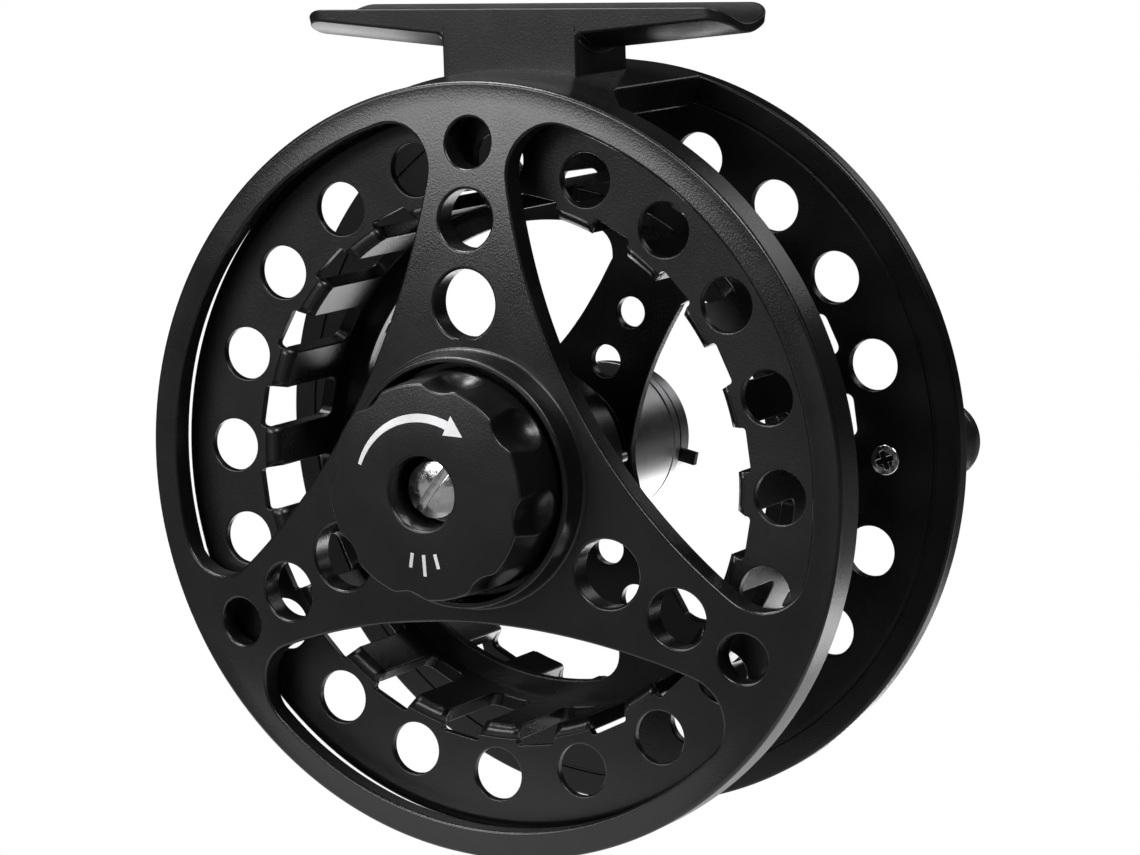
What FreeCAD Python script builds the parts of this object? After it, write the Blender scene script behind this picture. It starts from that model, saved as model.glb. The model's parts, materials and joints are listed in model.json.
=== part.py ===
"""A fly reel with a windowed frame, a slotted large-arbor spool and a scalloped drag knob.

Every piece that turns with or round the spool axis is drawn in an axial frame: X to the right and Y up, as
seen from the drag knob, and Z along the spool axis towards the drag knob, with Z = 0 at the handle's free
end. The placement "on_axis" carries that frame into the reel's own frame, whose origin is the middle of the
foot's top face, with +Z up and -Y towards the drag knob. Lengths are in millimetres, angles in degrees.
"""
import FreeCAD, Part

import math
import os

import Sketcher

doc = FreeCAD.newDocument("fly_reel")

DIMENSIONS = {
    # stations along the axis
    "handle_reach": 15.9,
    "far_flange_thickness": 2.5,
    "line_width": 27.6,
    "near_flange_thickness": 2.3,
    "flange_recess": 3.7,
    # frame
    "rim_radius": 47.2,
    "rim_edge": 1.0,
    "rim_bore": 45.2,
    "rim_depth": 5.0,
    "plate_thickness": 2.6,
    "face_rise": 3.6,
    "face_curve": 200.0,
    "window_radius": 43.7,
    "window_inset": 17.5,
    "window_curve": 80.0,
    "window_corner": 5.6,
    "collar_radius": 15.6,
    "collar_lip_radius": 14.8,
    "collar_height": 6.8,
    "recess_radius": 14.4,
    "recess_floor": 3.0,
    "hub_radius": 12.5,
    "hub_depth": 4.0,
    "spoke_hole_outer_reach": 39.9,
    "spoke_hole_middle_reach": 30.9,
    "spoke_hole_inner_reach": 20.95,
    "spoke_hole_outer_radius": 3.0,
    "spoke_hole_middle_radius": 3.6,
    "spoke_hole_inner_radius": 4.15,
    "bridge_bore": 43.9,
    "bridge_radius": 47.8,
    "bridge_half_width": 13.2,
    "bridge_depth": 33.0,
    # foot
    "foot_height": 55.0,
    "foot_half_length": 28.75,
    "foot_width": 13.0,
    "foot_middle_depth": 16.7,
    "foot_tip_thickness": 1.0,
    "foot_root_thickness": 2.9,
    "foot_corner": 3.0,
    "stem_half_width": 8.9,
    "stem_bottom": 46.2,
    "foot_screw_spacing": 10.0,
    "foot_screw_radius": 1.5,
    "foot_screw_length": 8.0,
    "foot_screw_head_radius": 2.4,
    "foot_screw_head_height": 1.2,
    "foot_screw_base": 43.1,
    # spindle, knob and drag
    "spindle_radius": 3.0,
    "spindle_front": 7.4,
    "spindle_end_depth": 36.2,
    "latch_groove_radius": 2.2,
    "latch_groove_start": 33.95,
    "latch_groove_end": 34.95,
    "knob_height": 14.0,
    "knob_radius": 12.9,
    "knob_base_radius": 13.4,
    "knob_base_height": 3.3,
    "knob_edge": 0.8,
    "knob_seat_height": 9.2,
    "knob_cavity_height": 7.5,
    "knob_cavity_radius": 8.0,
    "knob_bore": 4.35,
    "scallop_radius": 3.6,
    "scallop_reach": 15.1,
    "scallop_height": 6.2,
    "scallop_start": 34.5,
    "scallop_count": 8,
    "nut_radius": 7.9,
    "nut_front": 7.4,
    "nut_back": 3.6,
    "screw_head_radius": 3.7,
    "screw_head_height": 1.6,
    "screw_head_edge": 0.4,
    "screw_shank_radius": 1.9,
    "screw_shank_end": 4.0,
    "screw_slot_width": 0.9,
    "screw_slot_depth": 0.9,
    "screw_slot_turn": 52.0,
    "pin_radius": 1.0,
    "pin_reach": 6.5,
    "pin_front": 3.5,
    "pin_back_depth": 5.6,
    "washer_bore": 3.4,
    "washer_radius": 9.4,
    "washer_thickness": 1.8,
    "pressure_thickness": 1.0,
    "disc_radius": 10.0,
    "disc_thickness": 0.9,
    "disc_start": 8.9,
    "disc_pitch": 1.0,
    "drum_radius": 11.8,
    "drum_bore": 10.2,
    "drum_start": 4.4,
    "drum_floor": 12.2,
    "drum_end": 13.6,
    "stub_radius": 4.5,
    "stub_end": 27.2,
    "clutch_start": 21.2,
    "clutch_length": 5.6,
    # spool
    "near_flange_radius": 43.4,
    "far_flange_radius": 47.5,
    "arbor_radius": 33.4,
    "arbor_bore": 31.6,
    "hole_reach": 37.6,
    "near_hole_radius": 3.25,
    "far_hole_radius": 3.2,
    "hole_count": 20,
    "hole_start": -2.25,
    "slot_reach": 33.8,
    "slot_width": 5.2,
    "front_slot_end": 17.0,
    "rear_slot_start": 23.5,
    "web_front": 18.5,
    "web_back": 22.0,
    "web_turn": 59.2,
    "web_opening_radius": 28.8,
    "web_opening_inner": 12.3,
    "web_spoke_half_width": 5.6,
    "web_outer_hole_reach": 20.7,
    "web_outer_hole_radius": 1.8,
    "web_inner_hole_reach": 14.4,
    "web_inner_hole_radius": 2.1,
    "boss_radius": 11.5,
    "boss_front": 14.0,
    "boss_back": 24.0,
    "boss_bore": 8.0,
    # bright sleeve, cap and bearings
    "sleeve_radius": 9.6,
    "sleeve_end": 33.5,
    "sleeve_bore": 6.5,
    "front_bearing_start": 15.0,
    "rear_bearing_start": 27.8,
    "bearing_width": 4.5,
    "cap_radius": 8.9,
    "cap_end": 37.1,
    "cap_neck_radius": 8.2,
    "cap_neck_end": 35.0,
    "cap_bore": 3.3,
    "latch_channel_half_width": 5.3,
    "latch_channel_back": 6.4,
    "latch_channel_depth": 1.45,
    # release latch
    "latch_turn": -13.4,
    "latch_start": 34.05,
    "latch_thickness": 0.8,
    "latch_half_width": 5.2,
    "latch_tab_half_width": 0.8,
    "latch_tab_reach": 11.5,
    "latch_plate_reach": 5.6,
    "latch_plate_back": 4.2,
    "latch_hole_radius": 3.2,
    "latch_travel": 0.9,
    "latch_spring_radius": 0.35,
    "latch_spring_length": 2.1,
    # click
    "click_reach": 9.5,
    "click_radius": 0.7,
    "click_depth": 4.0,
    "click_tip_depth": 13.35,
    "click_back_depth": 15.6,
    "click_dimple_depth": 0.4,
    "click_dimple_radius": 0.9,
    "click_count": 24,
    "detent_reach": 11.0,
    "detent_radius": 0.8,
    "detent_depth": 3.4,
    "detent_length": 1.6,
    "detent_count": 24,
    # handle
    "handle_post_radius": 1.8,
    "handle_base_radius": 3.6,
    "handle_base_height": 0.9,
    "handle_screw_radius": 1.0,
    "handle_screw_length": 8.0,
    "handle_screw_head_radius": 1.85,
    "handle_screw_head_height": 0.9,
    "handle_knob_radius": 5.0,
    "handle_waist_radius": 4.0,
    "handle_knob_length": 13.6,
    "handle_cap_height": 0.9,
    # clearances
    "running_gap": 0.05,
    "air_gap": 0.3,
}

sheet = doc.addObject("Spreadsheet::Sheet", "dims")
for row, (alias, value) in enumerate(DIMENSIONS.items(), start=1):
    sheet.set("A%d" % row, alias)
    sheet.set("B%d" % row, str(value))
    sheet.setAlias("B%d" % row, alias)
doc.recompute()


class Size:
    """A length or angle that carries its number and the sheet expression that gives it."""

    def __init__(self, value, text):
        self.value = float(value)
        self.text = text

    def __add__(self, other):
        other = as_size(other)
        return Size(self.value + other.value, "(%s + %s)" % (self.text, other.text))

    def __sub__(self, other):
        other = as_size(other)
        return Size(self.value - other.value, "(%s - %s)" % (self.text, other.text))

    def __mul__(self, other):
        other = as_size(other)
        return Size(self.value * other.value, "(%s * %s)" % (self.text, other.text))

    def __truediv__(self, other):
        other = as_size(other)
        return Size(self.value / other.value, "(%s / %s)" % (self.text, other.text))

    def __neg__(self):
        return Size(-self.value, "(-1 * %s)" % self.text)


def as_size(value):
    if isinstance(value, Size):
        return value
    return Size(value, repr(float(value)))


class Dimensions:
    """The sheet's cells by name."""

    def __getattr__(self, alias):
        return Size(DIMENSIONS[alias], "dims." + alias)


d = Dimensions()
NOTHING = as_size(0)
RIM_FACE = (d.handle_reach + d.far_flange_thickness + d.line_width
            + d.near_flange_thickness + d.flange_recess)


def behind(depth):
    """The station that lies a depth behind the frame's front rim face, towards the handle."""
    return RIM_FACE - depth


def ahead(height):
    """The station that stands a height in front of the rim face, towards the drag knob."""
    return RIM_FACE + height


AXIS_TURN = FreeCAD.Rotation(FreeCAD.Vector(1, 0, 0), 90)


def on_axis(right=NOTHING, up=NOTHING, turn=0.0):
    """Placement of a piece drawn in the axial frame, moved across and turned within that frame."""
    origin = FreeCAD.Vector(0, RIM_FACE.value - d.foot_middle_depth.value, -d.foot_height.value)
    local = FreeCAD.Placement(FreeCAD.Vector(right.value, up.value, 0),
                              FreeCAD.Rotation(FreeCAD.Vector(0, 0, 1), turn))
    return FreeCAD.Placement(origin, AXIS_TURN).multiply(local)


def new_body(name, placement=None):
    body = doc.addObject("PartDesign::Body", name)
    body.Label = name
    body.Placement = placement or on_axis()
    return body


def origin_feature(body, role):
    return [feature for feature in body.Origin.OriginFeatures if feature.Role == role][0]


def new_sketch(body, name, plane="XY_Plane", station=NOTHING, turn=0.0):
    """A sketch on one of the body's origin planes, lifted to a station and turned within its plane."""
    sketch = body.newObject("Sketcher::SketchObject", name)
    sketch.AttachmentSupport = [(origin_feature(body, plane), "")]
    sketch.MapMode = "FlatFace"
    sketch.AttachmentOffset = FreeCAD.Placement(FreeCAD.Vector(0, 0, station.value),
                                                FreeCAD.Rotation(FreeCAD.Vector(0, 0, 1), turn))
    sketch.setExpression("AttachmentOffset.Base.z", station.text)
    return sketch


TOUCH = 1e-3
ORIGIN = -1
H_AXIS = -1
V_AXIS = -2


def bind(sketch, kind, where, size):
    """Add one dimension to a sketch and tie it to the sheet."""
    index = sketch.addConstraint(Sketcher.Constraint(kind, *where, size.value))
    sketch.setExpression("Constraints[%d]" % index, size.text)


def fix_point(sketch, edge, end, point):
    """Hold a sketch point at a pair of sizes measured from the origin."""
    across, along = point
    if abs(across.value) < 1e-9:
        sketch.addConstraint(Sketcher.Constraint("PointOnObject", edge, end, V_AXIS))
    else:
        bind(sketch, "DistanceX", (ORIGIN, 1, edge, end), across)
    if abs(along.value) < 1e-9:
        sketch.addConstraint(Sketcher.Constraint("PointOnObject", edge, end, H_AXIS))
    else:
        bind(sketch, "DistanceY", (ORIGIN, 1, edge, end), along)


def vector(point):
    return FreeCAD.Vector(point[0].value, point[1].value, 0)


def arc_between(start, end, radius):
    """The shorter arc of a radius from start to end that bulges to the right of its direction."""
    chord = end - start
    middle = (start + end) * 0.5
    left = FreeCAD.Vector(-chord.y, chord.x, 0).normalize()
    rise = math.sqrt(radius ** 2 - (chord.Length / 2) ** 2)
    centre = middle + left * rise
    crown = centre - left * radius
    return Part.Arc(start, crown, end)


def outline(sketch, corners):
    """A closed outline. A corner is (x, y), or (x, y, radius) where the next edge is an arc."""
    corners = [tuple(as_size(value) for value in corner) for corner in corners]
    edges = []
    for here, there in zip(corners, corners[1:] + corners[:1]):
        if len(here) == 3:
            edges.append(arc_between(vector(here), vector(there), here[2].value))
        else:
            edges.append(Part.LineSegment(vector(here), vector(there)))
    first = sketch.GeometryCount
    for edge in edges:
        sketch.addGeometry(edge, False)
    count = len(edges)
    for number, here in enumerate(corners):
        edge = first + number
        following = first + (number + 1) % count
        sketch.addConstraint(Sketcher.Constraint("Coincident", edge, 2, following, 1))
        fix_point(sketch, edge, 1, here[:2])
        if len(here) == 3:
            bind(sketch, "Radius", (edge,), here[2])


def circle(sketch, across, along, radius):
    """A circle in a sketch."""
    across, along, radius = as_size(across), as_size(along), as_size(radius)
    shape = Part.Circle(vector((across, along)), FreeCAD.Vector(0, 0, 1), radius.value)
    edge = sketch.addGeometry(shape, False)
    fix_point(sketch, edge, 3, (across, along))
    bind(sketch, "Radius", (edge,), radius)


def turn_profile(body, name, corners):
    """A solid turned from an outline of (radius, station) corners."""
    sketch = new_sketch(body, name + "_section", "XZ_Plane")
    outline(sketch, corners)
    turned = body.newObject("PartDesign::Revolution", name)
    turned.Profile = sketch
    turned.ReferenceAxis = (sketch, ["V_Axis"])
    turned.Angle = 360
    return turned


def ring_corners(inner, outer, low, high):
    """Corners of a plain ring's section."""
    return [(inner, low), (outer, low), (outer, high), (inner, high)]


def turned_body(name, corners, placement=None):
    body = new_body(name, placement)
    turn_profile(body, name + "_turning", corners)
    return body


def ring(name, inner, outer, low, high, placement=None):
    return turned_body(name, ring_corners(inner, outer, low, high), placement)


def pad(body, sketch, length, name):
    feature = body.newObject("PartDesign::Pad", name)
    feature.Profile = sketch
    feature.Length = length.value
    feature.setExpression("Length", length.text)
    return feature


def pocket(body, sketch, length, name, upwards=False):
    """A pocket that cuts down from its sketch, or upwards along +Z."""
    feature = body.newObject("PartDesign::Pocket", name)
    feature.Profile = sketch
    feature.Length = length.value
    feature.setExpression("Length", length.text)
    feature.Reversed = upwards
    return feature


def repeat_round(body, feature, count, name, angle=360.0):
    """Repeat a feature round the body's Z axis."""
    pattern = body.newObject("PartDesign::PolarPattern", name)
    pattern.Originals = [feature]
    pattern.Axis = (origin_feature(body, "Z_Axis"), [""])
    pattern.Angle = angle
    pattern.Occurrences = count
    body.Tip = pattern
    return pattern


def polar(reach, angle):
    """A point at a reach and an angle from the axis, still tied to the sheet."""
    turn = math.radians(angle.value)
    return (Size(reach.value * math.cos(turn), "(%s * cos(%s))" % (reach.text, angle.text)),
            Size(reach.value * math.sin(turn), "(%s * sin(%s))" % (reach.text, angle.text)))


# ---------------------------------------------------------------- frame

SPOKE_COUNT = 3
WINDOW_STEP = 360.0 / SPOKE_COUNT


def window_outline(sketch):
    """One frame window: an arc along the rim, a long arc past the hub and two rounded ends."""
    rim, curve, corner = d.window_radius.value, d.window_curve.value, d.window_corner.value
    drop = d.window_inset + d.window_curve
    reach, inner = rim - corner, curve - corner
    end_y = -(reach ** 2 - inner ** 2 + drop.value ** 2) / (2 * drop.value)
    end_x = math.sqrt(reach ** 2 - end_y ** 2)
    axis = FreeCAD.Vector(0, 0, 1)
    low = FreeCAD.Vector(0, -drop.value, 0)
    ends = [FreeCAD.Vector(-end_x, end_y, 0), FreeCAD.Vector(end_x, end_y, 0)]

    def angle_of(vector_from):
        return math.atan2(vector_from.y, vector_from.x)

    rim_start, rim_end = [angle_of(end) for end in ends]
    inner_left, inner_right = [angle_of(end - low) for end in ends]
    arcs = [
        Part.ArcOfCircle(Part.Circle(FreeCAD.Vector(), axis, rim), rim_start, rim_end),
        Part.ArcOfCircle(Part.Circle(ends[1], axis, corner), rim_end, inner_right),
        Part.ArcOfCircle(Part.Circle(low, axis, curve), inner_right, inner_left),
        Part.ArcOfCircle(Part.Circle(ends[0], axis, corner), inner_left, rim_start + 2 * math.pi),
    ]
    for arc in arcs:
        sketch.addGeometry(arc, False)
    for number in range(4):
        sketch.addConstraint(Sketcher.Constraint("Tangent", number, 2, (number + 1) % 4, 1))
    sketch.addConstraint(Sketcher.Constraint("Coincident", 0, 3, ORIGIN, 1))
    sketch.addConstraint(Sketcher.Constraint("PointOnObject", 2, 3, V_AXIS))
    bind(sketch, "DistanceY", (ORIGIN, 1, 2, 3), -drop)
    bind(sketch, "Radius", (0,), d.window_radius)
    bind(sketch, "Radius", (2,), d.window_curve)
    bind(sketch, "Radius", (1,), d.window_corner)
    bind(sketch, "Radius", (3,), d.window_corner)


def bridge_outline(sketch):
    """The top bridge's section: two arcs round the axis, closed by two upright sides."""
    half = d.bridge_half_width.value
    axis = FreeCAD.Vector(0, 0, 1)

    def edge_angle(radius):
        return math.acos(half / radius)

    for radius in (d.bridge_bore.value, d.bridge_radius.value):
        start = edge_angle(radius)
        arc = Part.ArcOfCircle(Part.Circle(FreeCAD.Vector(), axis, radius), start, math.pi - start)
        sketch.addGeometry(arc, False)
    for side, end in ((1, 1), (-1, 2)):
        corners = [FreeCAD.Vector(side * half, math.sqrt(radius ** 2 - half ** 2), 0)
                   for radius in (d.bridge_bore.value, d.bridge_radius.value)]
        line = sketch.addGeometry(Part.LineSegment(*corners), False)
        sketch.addConstraint(Sketcher.Constraint("Coincident", 0, end, line, 1))
        sketch.addConstraint(Sketcher.Constraint("Coincident", 1, end, line, 2))
        sketch.addConstraint(Sketcher.Constraint("Vertical", line))
        bind(sketch, "DistanceX", (ORIGIN, 1, line, 1), d.bridge_half_width * side)
    for arc, radius in ((0, d.bridge_bore), (1, d.bridge_radius)):
        sketch.addConstraint(Sketcher.Constraint("Coincident", arc, 3, ORIGIN, 1))
        bind(sketch, "Radius", (arc,), radius)


def frame():
    """Side plate with a domed face, a rim, a collar round the knob's recess and the root of the bridge."""
    body = new_body("frame")
    back_rise = d.face_rise - d.plate_thickness
    turn_profile(body, "plate", [
        (d.spindle_radius, behind(d.hub_depth)),
        (d.hub_radius, behind(d.hub_depth)),
        (d.hub_radius, ahead(back_rise)),
        (d.rim_bore, behind(d.plate_thickness)),
        (d.rim_bore, behind(d.rim_depth)),
        (d.rim_radius, behind(d.rim_depth)),
        (d.rim_radius, behind(d.rim_edge)),
        (d.rim_radius - d.rim_edge, RIM_FACE, d.face_curve),
        (d.collar_radius, ahead(d.face_rise)),
        (d.collar_lip_radius, ahead(d.collar_height)),
        (d.recess_radius, ahead(d.collar_height)),
        (d.recess_radius, ahead(d.recess_floor)),
        (d.spindle_radius, ahead(d.recess_floor)),
    ])
    root = new_sketch(body, "bridge_root_section", station=behind(d.rim_depth))
    bridge_outline(root)
    pad(body, root, d.rim_depth - d.rim_edge, "bridge_root")

    window = new_sketch(body, "window_outline", station=ahead(d.collar_height))
    window_outline(window)
    cut = pocket(body, window, d.collar_height + d.rim_depth, "window")
    repeat_round(body, cut, SPOKE_COUNT, "windows")

    drill = new_sketch(body, "spoke_hole_centres", station=ahead(d.collar_height))
    for place in ("outer", "middle", "inner"):
        reach = getattr(d, "spoke_hole_%s_reach" % place)
        circle(drill, NOTHING, reach, getattr(d, "spoke_hole_%s_radius" % place))
    cut = pocket(body, drill, d.collar_height + d.rim_depth, "spoke_holes")
    repeat_round(body, cut, SPOKE_COUNT, "all_spoke_holes")

    pins = new_sketch(body, "pin_hole_centre", station=ahead(d.recess_floor))
    circle(pins, NOTHING, d.pin_reach, d.pin_radius + d.running_gap)
    cut = pocket(body, pins, d.recess_floor + d.hub_depth, "pin_hole")
    repeat_round(body, cut, SPOKE_COUNT, "pin_holes")

    detent = new_sketch(body, "detent_hole_centre", station=ahead(d.recess_floor))
    circle(detent, d.detent_reach, NOTHING, d.detent_radius + d.running_gap)
    pocket(body, detent, d.detent_depth, "detent_hole")
    return body


def frame_bridge():
    """The bridge that runs back from the rim over the spool and carries the foot."""
    body = new_body("frame_bridge")
    section = new_sketch(body, "bridge_section", station=behind(d.bridge_depth))
    bridge_outline(section)
    pad(body, section, d.bridge_depth - d.rim_depth, "bridge")
    screws = new_sketch(body, "foot_screw_centres", "XZ_Plane", station=-d.stem_bottom)
    for side in (-1, 1):
        circle(screws, d.foot_screw_spacing * (side / 2), behind(d.foot_middle_depth), d.foot_screw_radius)
    pocket(body, screws, d.stem_bottom - d.foot_screw_base + d.air_gap, "foot_screw_holes", upwards=True)
    seats = new_sketch(body, "foot_seat_outline", "XZ_Plane", station=-(d.stem_bottom + d.foot_width))
    half_seat = d.foot_width / 2
    outline(seats, [
        (-d.stem_half_width, behind(d.foot_middle_depth + half_seat)),
        (d.stem_half_width, behind(d.foot_middle_depth + half_seat)),
        (d.stem_half_width, behind(d.foot_middle_depth - half_seat)),
        (-d.stem_half_width, behind(d.foot_middle_depth - half_seat)),
    ])
    pocket(body, seats, d.foot_width, "foot_seat", upwards=True)
    return body


def reel_foot():
    """The foot: a flat top that tapers to its tips, on a short stem that sits on the bridge."""
    body = new_body("reel_foot")
    half = d.foot_width / 2
    side = new_sketch(body, "foot_side", station=behind(d.foot_middle_depth + half))
    underside = d.foot_height - d.foot_root_thickness
    outline(side, [
        (-d.stem_half_width, d.stem_bottom),
        (d.stem_half_width, d.stem_bottom),
        (d.stem_half_width, underside),
        (d.foot_half_length, d.foot_height - d.foot_tip_thickness),
        (d.foot_half_length, d.foot_height),
        (-d.foot_half_length, d.foot_height),
        (-d.foot_half_length, d.foot_height - d.foot_tip_thickness),
        (-d.stem_half_width, underside),
    ])
    pad(body, side, d.foot_width, "foot_blank")
    holes = new_sketch(body, "tapped_hole_centres", "XZ_Plane", station=-d.stem_bottom)
    for sign in (-1, 1):
        circle(holes, d.foot_screw_spacing * (sign / 2), behind(d.foot_middle_depth), d.foot_screw_radius)
    pocket(body, holes, d.foot_screw_base + d.foot_screw_length - d.stem_bottom, "tapped_holes")
    round_foot_corners(body)
    return body


def round_foot_corners(body):
    """Round the four upright edges at the foot's two tips."""
    doc.recompute()
    base = body.Tip
    corners = []
    for number, edge in enumerate(base.Shape.Edges, 1):
        box = edge.BoundBox
        at_tip = abs(abs(box.Center.x) - d.foot_half_length.value) < TOUCH
        if at_tip and box.XLength < TOUCH and box.ZLength < TOUCH:
            corners.append("Edge%d" % number)
    fillet = body.newObject("PartDesign::Fillet", "tip_corners")
    fillet.Base = (base, corners)
    fillet.setExpression("Radius", d.foot_corner.text)
    body.Tip = fillet


def cylinder(name, radius, height):
    """A cylinder whose sizes follow the sheet."""
    shape = doc.addObject("Part::Cylinder", name)
    shape.setExpression("Radius", radius)
    shape.setExpression("Height", height)
    return shape


def foot_screws():
    """Two screws that hold the foot from inside the bridge."""
    screws = []
    seat = d.foot_screw_base.value - d.foot_height.value
    for sign in (-1, 1):
        across = sign * d.foot_screw_spacing.value / 2
        shank = cylinder("foot_screw_shank", "dims.foot_screw_radius", "dims.foot_screw_length")
        shank.Placement = FreeCAD.Placement(FreeCAD.Vector(across, 0, seat), FreeCAD.Rotation())
        head = cylinder("foot_screw_head", "dims.foot_screw_head_radius", "dims.foot_screw_head_height")
        low = seat - d.foot_screw_head_height.value
        head.Placement = FreeCAD.Placement(FreeCAD.Vector(across, 0, low), FreeCAD.Rotation())
        screw = doc.addObject("Part::Fuse", "foot_screw")
        screw.Base = head
        screw.Tool = shank
        screws.append(screw)
    group = doc.addObject("Part::Compound", "foot_screws")
    group.Links = screws
    group.Label = "foot_screws"
    return group


# ---------------------------------------------------------------- spindle, knob and drag

def spindle():
    """The fixed shaft, with a groove for the release latch near its end and a threaded hole in its front."""
    return turned_body("spindle", [
        (d.screw_shank_radius, ahead(d.spindle_front)),
        (d.screw_shank_radius, ahead(d.screw_shank_end)),
        (NOTHING, ahead(d.screw_shank_end)),
        (NOTHING, behind(d.spindle_end_depth)),
        (d.spindle_radius, behind(d.spindle_end_depth)),
        (d.spindle_radius, behind(d.latch_groove_end)),
        (d.latch_groove_radius, behind(d.latch_groove_end)),
        (d.latch_groove_radius, behind(d.latch_groove_start)),
        (d.spindle_radius, behind(d.latch_groove_start)),
        (d.spindle_radius, ahead(d.spindle_front)),
    ])


def knob_screw():
    """The slotted screw that keeps the drag knob on the spindle."""
    body = new_body("knob_screw")
    seat = ahead(d.knob_seat_height) + d.running_gap
    top = seat + d.screw_head_height
    turn_profile(body, "screw_turning", [
        (NOTHING, ahead(d.screw_shank_end)),
        (d.screw_shank_radius, ahead(d.screw_shank_end)),
        (d.screw_shank_radius, seat),
        (d.screw_head_radius, seat),
        (d.screw_head_radius, top - d.screw_head_edge),
        (d.screw_head_radius - d.screw_head_edge, top),
        (NOTHING, top),
    ])
    slot = new_sketch(body, "slot_outline", station=top, turn=d.screw_slot_turn.value)
    half = d.screw_slot_width / 2
    reach = d.screw_head_radius * 2
    outline(slot, [(-reach, -half), (reach, -half), (reach, half), (-reach, half)])
    pocket(body, slot, d.screw_slot_depth, "slot")
    return body


def drag_knob():
    """The scalloped knob, with a bore for its screw in front and a cavity for the drag nut behind."""
    body = new_body("drag_knob")
    turn_profile(body, "knob_turning", [
        (d.screw_shank_radius + d.running_gap, ahead(d.knob_cavity_height)),
        (d.knob_cavity_radius, ahead(d.knob_cavity_height)),
        (d.knob_cavity_radius, ahead(d.knob_base_height)),
        (d.knob_base_radius, ahead(d.knob_base_height)),
        (d.knob_base_radius, ahead(d.scallop_height)),
        (d.knob_radius, ahead(d.knob_height - d.knob_edge)),
        (d.knob_radius - d.knob_edge, ahead(d.knob_height)),
        (d.knob_bore, ahead(d.knob_height)),
        (d.knob_bore, ahead(d.knob_seat_height)),
        (d.screw_shank_radius + d.running_gap, ahead(d.knob_seat_height)),
    ])
    scallops = new_sketch(body, "scallop_outline", station=ahead(d.knob_height), turn=d.scallop_start.value)
    circle(scallops, d.scallop_reach, NOTHING, d.scallop_radius)
    cut = pocket(body, scallops, d.knob_height - d.scallop_height, "scallop")
    repeat_round(body, cut, int(d.scallop_count.value), "scallops")
    dimples = new_sketch(body, "dimple_outline", station=ahead(d.knob_base_height))
    circle(dimples, d.detent_reach, NOTHING, d.detent_radius)
    cut = pocket(body, dimples, d.air_gap, "dimple", upwards=True)
    repeat_round(body, cut, int(d.detent_count.value), "dimples")
    return body


def drag_nut():
    """The nut inside the knob, which pushes the thrust pins as the knob turns."""
    return ring("drag_nut", d.spindle_radius + d.running_gap, d.nut_radius,
                ahead(d.nut_back), ahead(d.nut_front))


def thrust_pins():
    """Three pins that pass the nut's push through the frame's hub to the spring washers."""
    pins = []
    for number in range(SPOKE_COUNT):
        angle = math.radians(90 + WINDOW_STEP * number)
        pin = cylinder("thrust_pin", "dims.pin_radius", "dims.pin_back_depth + dims.pin_front")
        reach = d.pin_reach.value
        local = FreeCAD.Placement(FreeCAD.Vector(reach * math.cos(angle), reach * math.sin(angle),
                                                 behind(d.pin_back_depth).value), FreeCAD.Rotation())
        pin.Placement = on_axis().multiply(local)
        pins.append(pin)
    group = doc.addObject("Part::Compound", "thrust_pins")
    group.Links = pins
    group.Label = "thrust_pins"
    return group


def spring_washers():
    """The stack of dished washers between the pins and the pressure plate."""
    start = d.pin_back_depth
    return ring("spring_washers", d.washer_bore, d.washer_radius,
                behind(start + d.washer_thickness), behind(start))


def pressure_plate():
    start = d.pin_back_depth + d.washer_thickness
    return ring("pressure_plate", d.washer_bore, d.disc_radius,
                behind(start + d.pressure_thickness), behind(start))


def drag_disc(name, place, bore):
    """One disc of the drag stack, counted from the pressure plate."""
    start = d.disc_start + d.disc_pitch * place
    return ring(name, bore, d.disc_radius, behind(start + d.disc_thickness), behind(start))


def drag_drum():
    """The cup that holds the discs, with a stub behind it for the bearings and a ring of click dimples."""
    body = new_body("drag_drum")
    bore = d.spindle_radius + d.running_gap
    turn_profile(body, "drum_turning", [
        (bore, behind(d.stub_end)),
        (d.stub_radius, behind(d.stub_end)),
        (d.stub_radius, behind(d.drum_end)),
        (d.drum_radius, behind(d.drum_end)),
        (d.drum_radius, behind(d.drum_start)),
        (d.drum_bore, behind(d.drum_start)),
        (d.drum_bore, behind(d.drum_floor)),
        (bore, behind(d.drum_floor)),
    ])
    dimples = new_sketch(body, "dimple_outline", station=behind(d.drum_end))
    circle(dimples, d.click_reach, NOTHING, d.click_dimple_radius)
    cut = pocket(body, dimples, d.click_dimple_depth, "dimple", upwards=True)
    repeat_round(body, cut, int(d.click_count.value), "dimples")
    return body


# ---------------------------------------------------------------- spool

def near_flange():
    """The drilled flange inside the frame's rim."""
    body = new_body("near_flange")
    high = behind(d.flange_recess)
    low = high - d.near_flange_thickness
    turn_profile(body, "flange_turning", ring_corners(d.slot_reach, d.near_flange_radius, low, high))
    hole = new_sketch(body, "hole_outline", station=high, turn=d.hole_start.value)
    circle(hole, d.hole_reach, NOTHING, d.near_hole_radius)
    cut = pocket(body, hole, d.near_flange_thickness, "hole")
    repeat_round(body, cut, int(d.hole_count.value), "holes")
    return body


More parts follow.
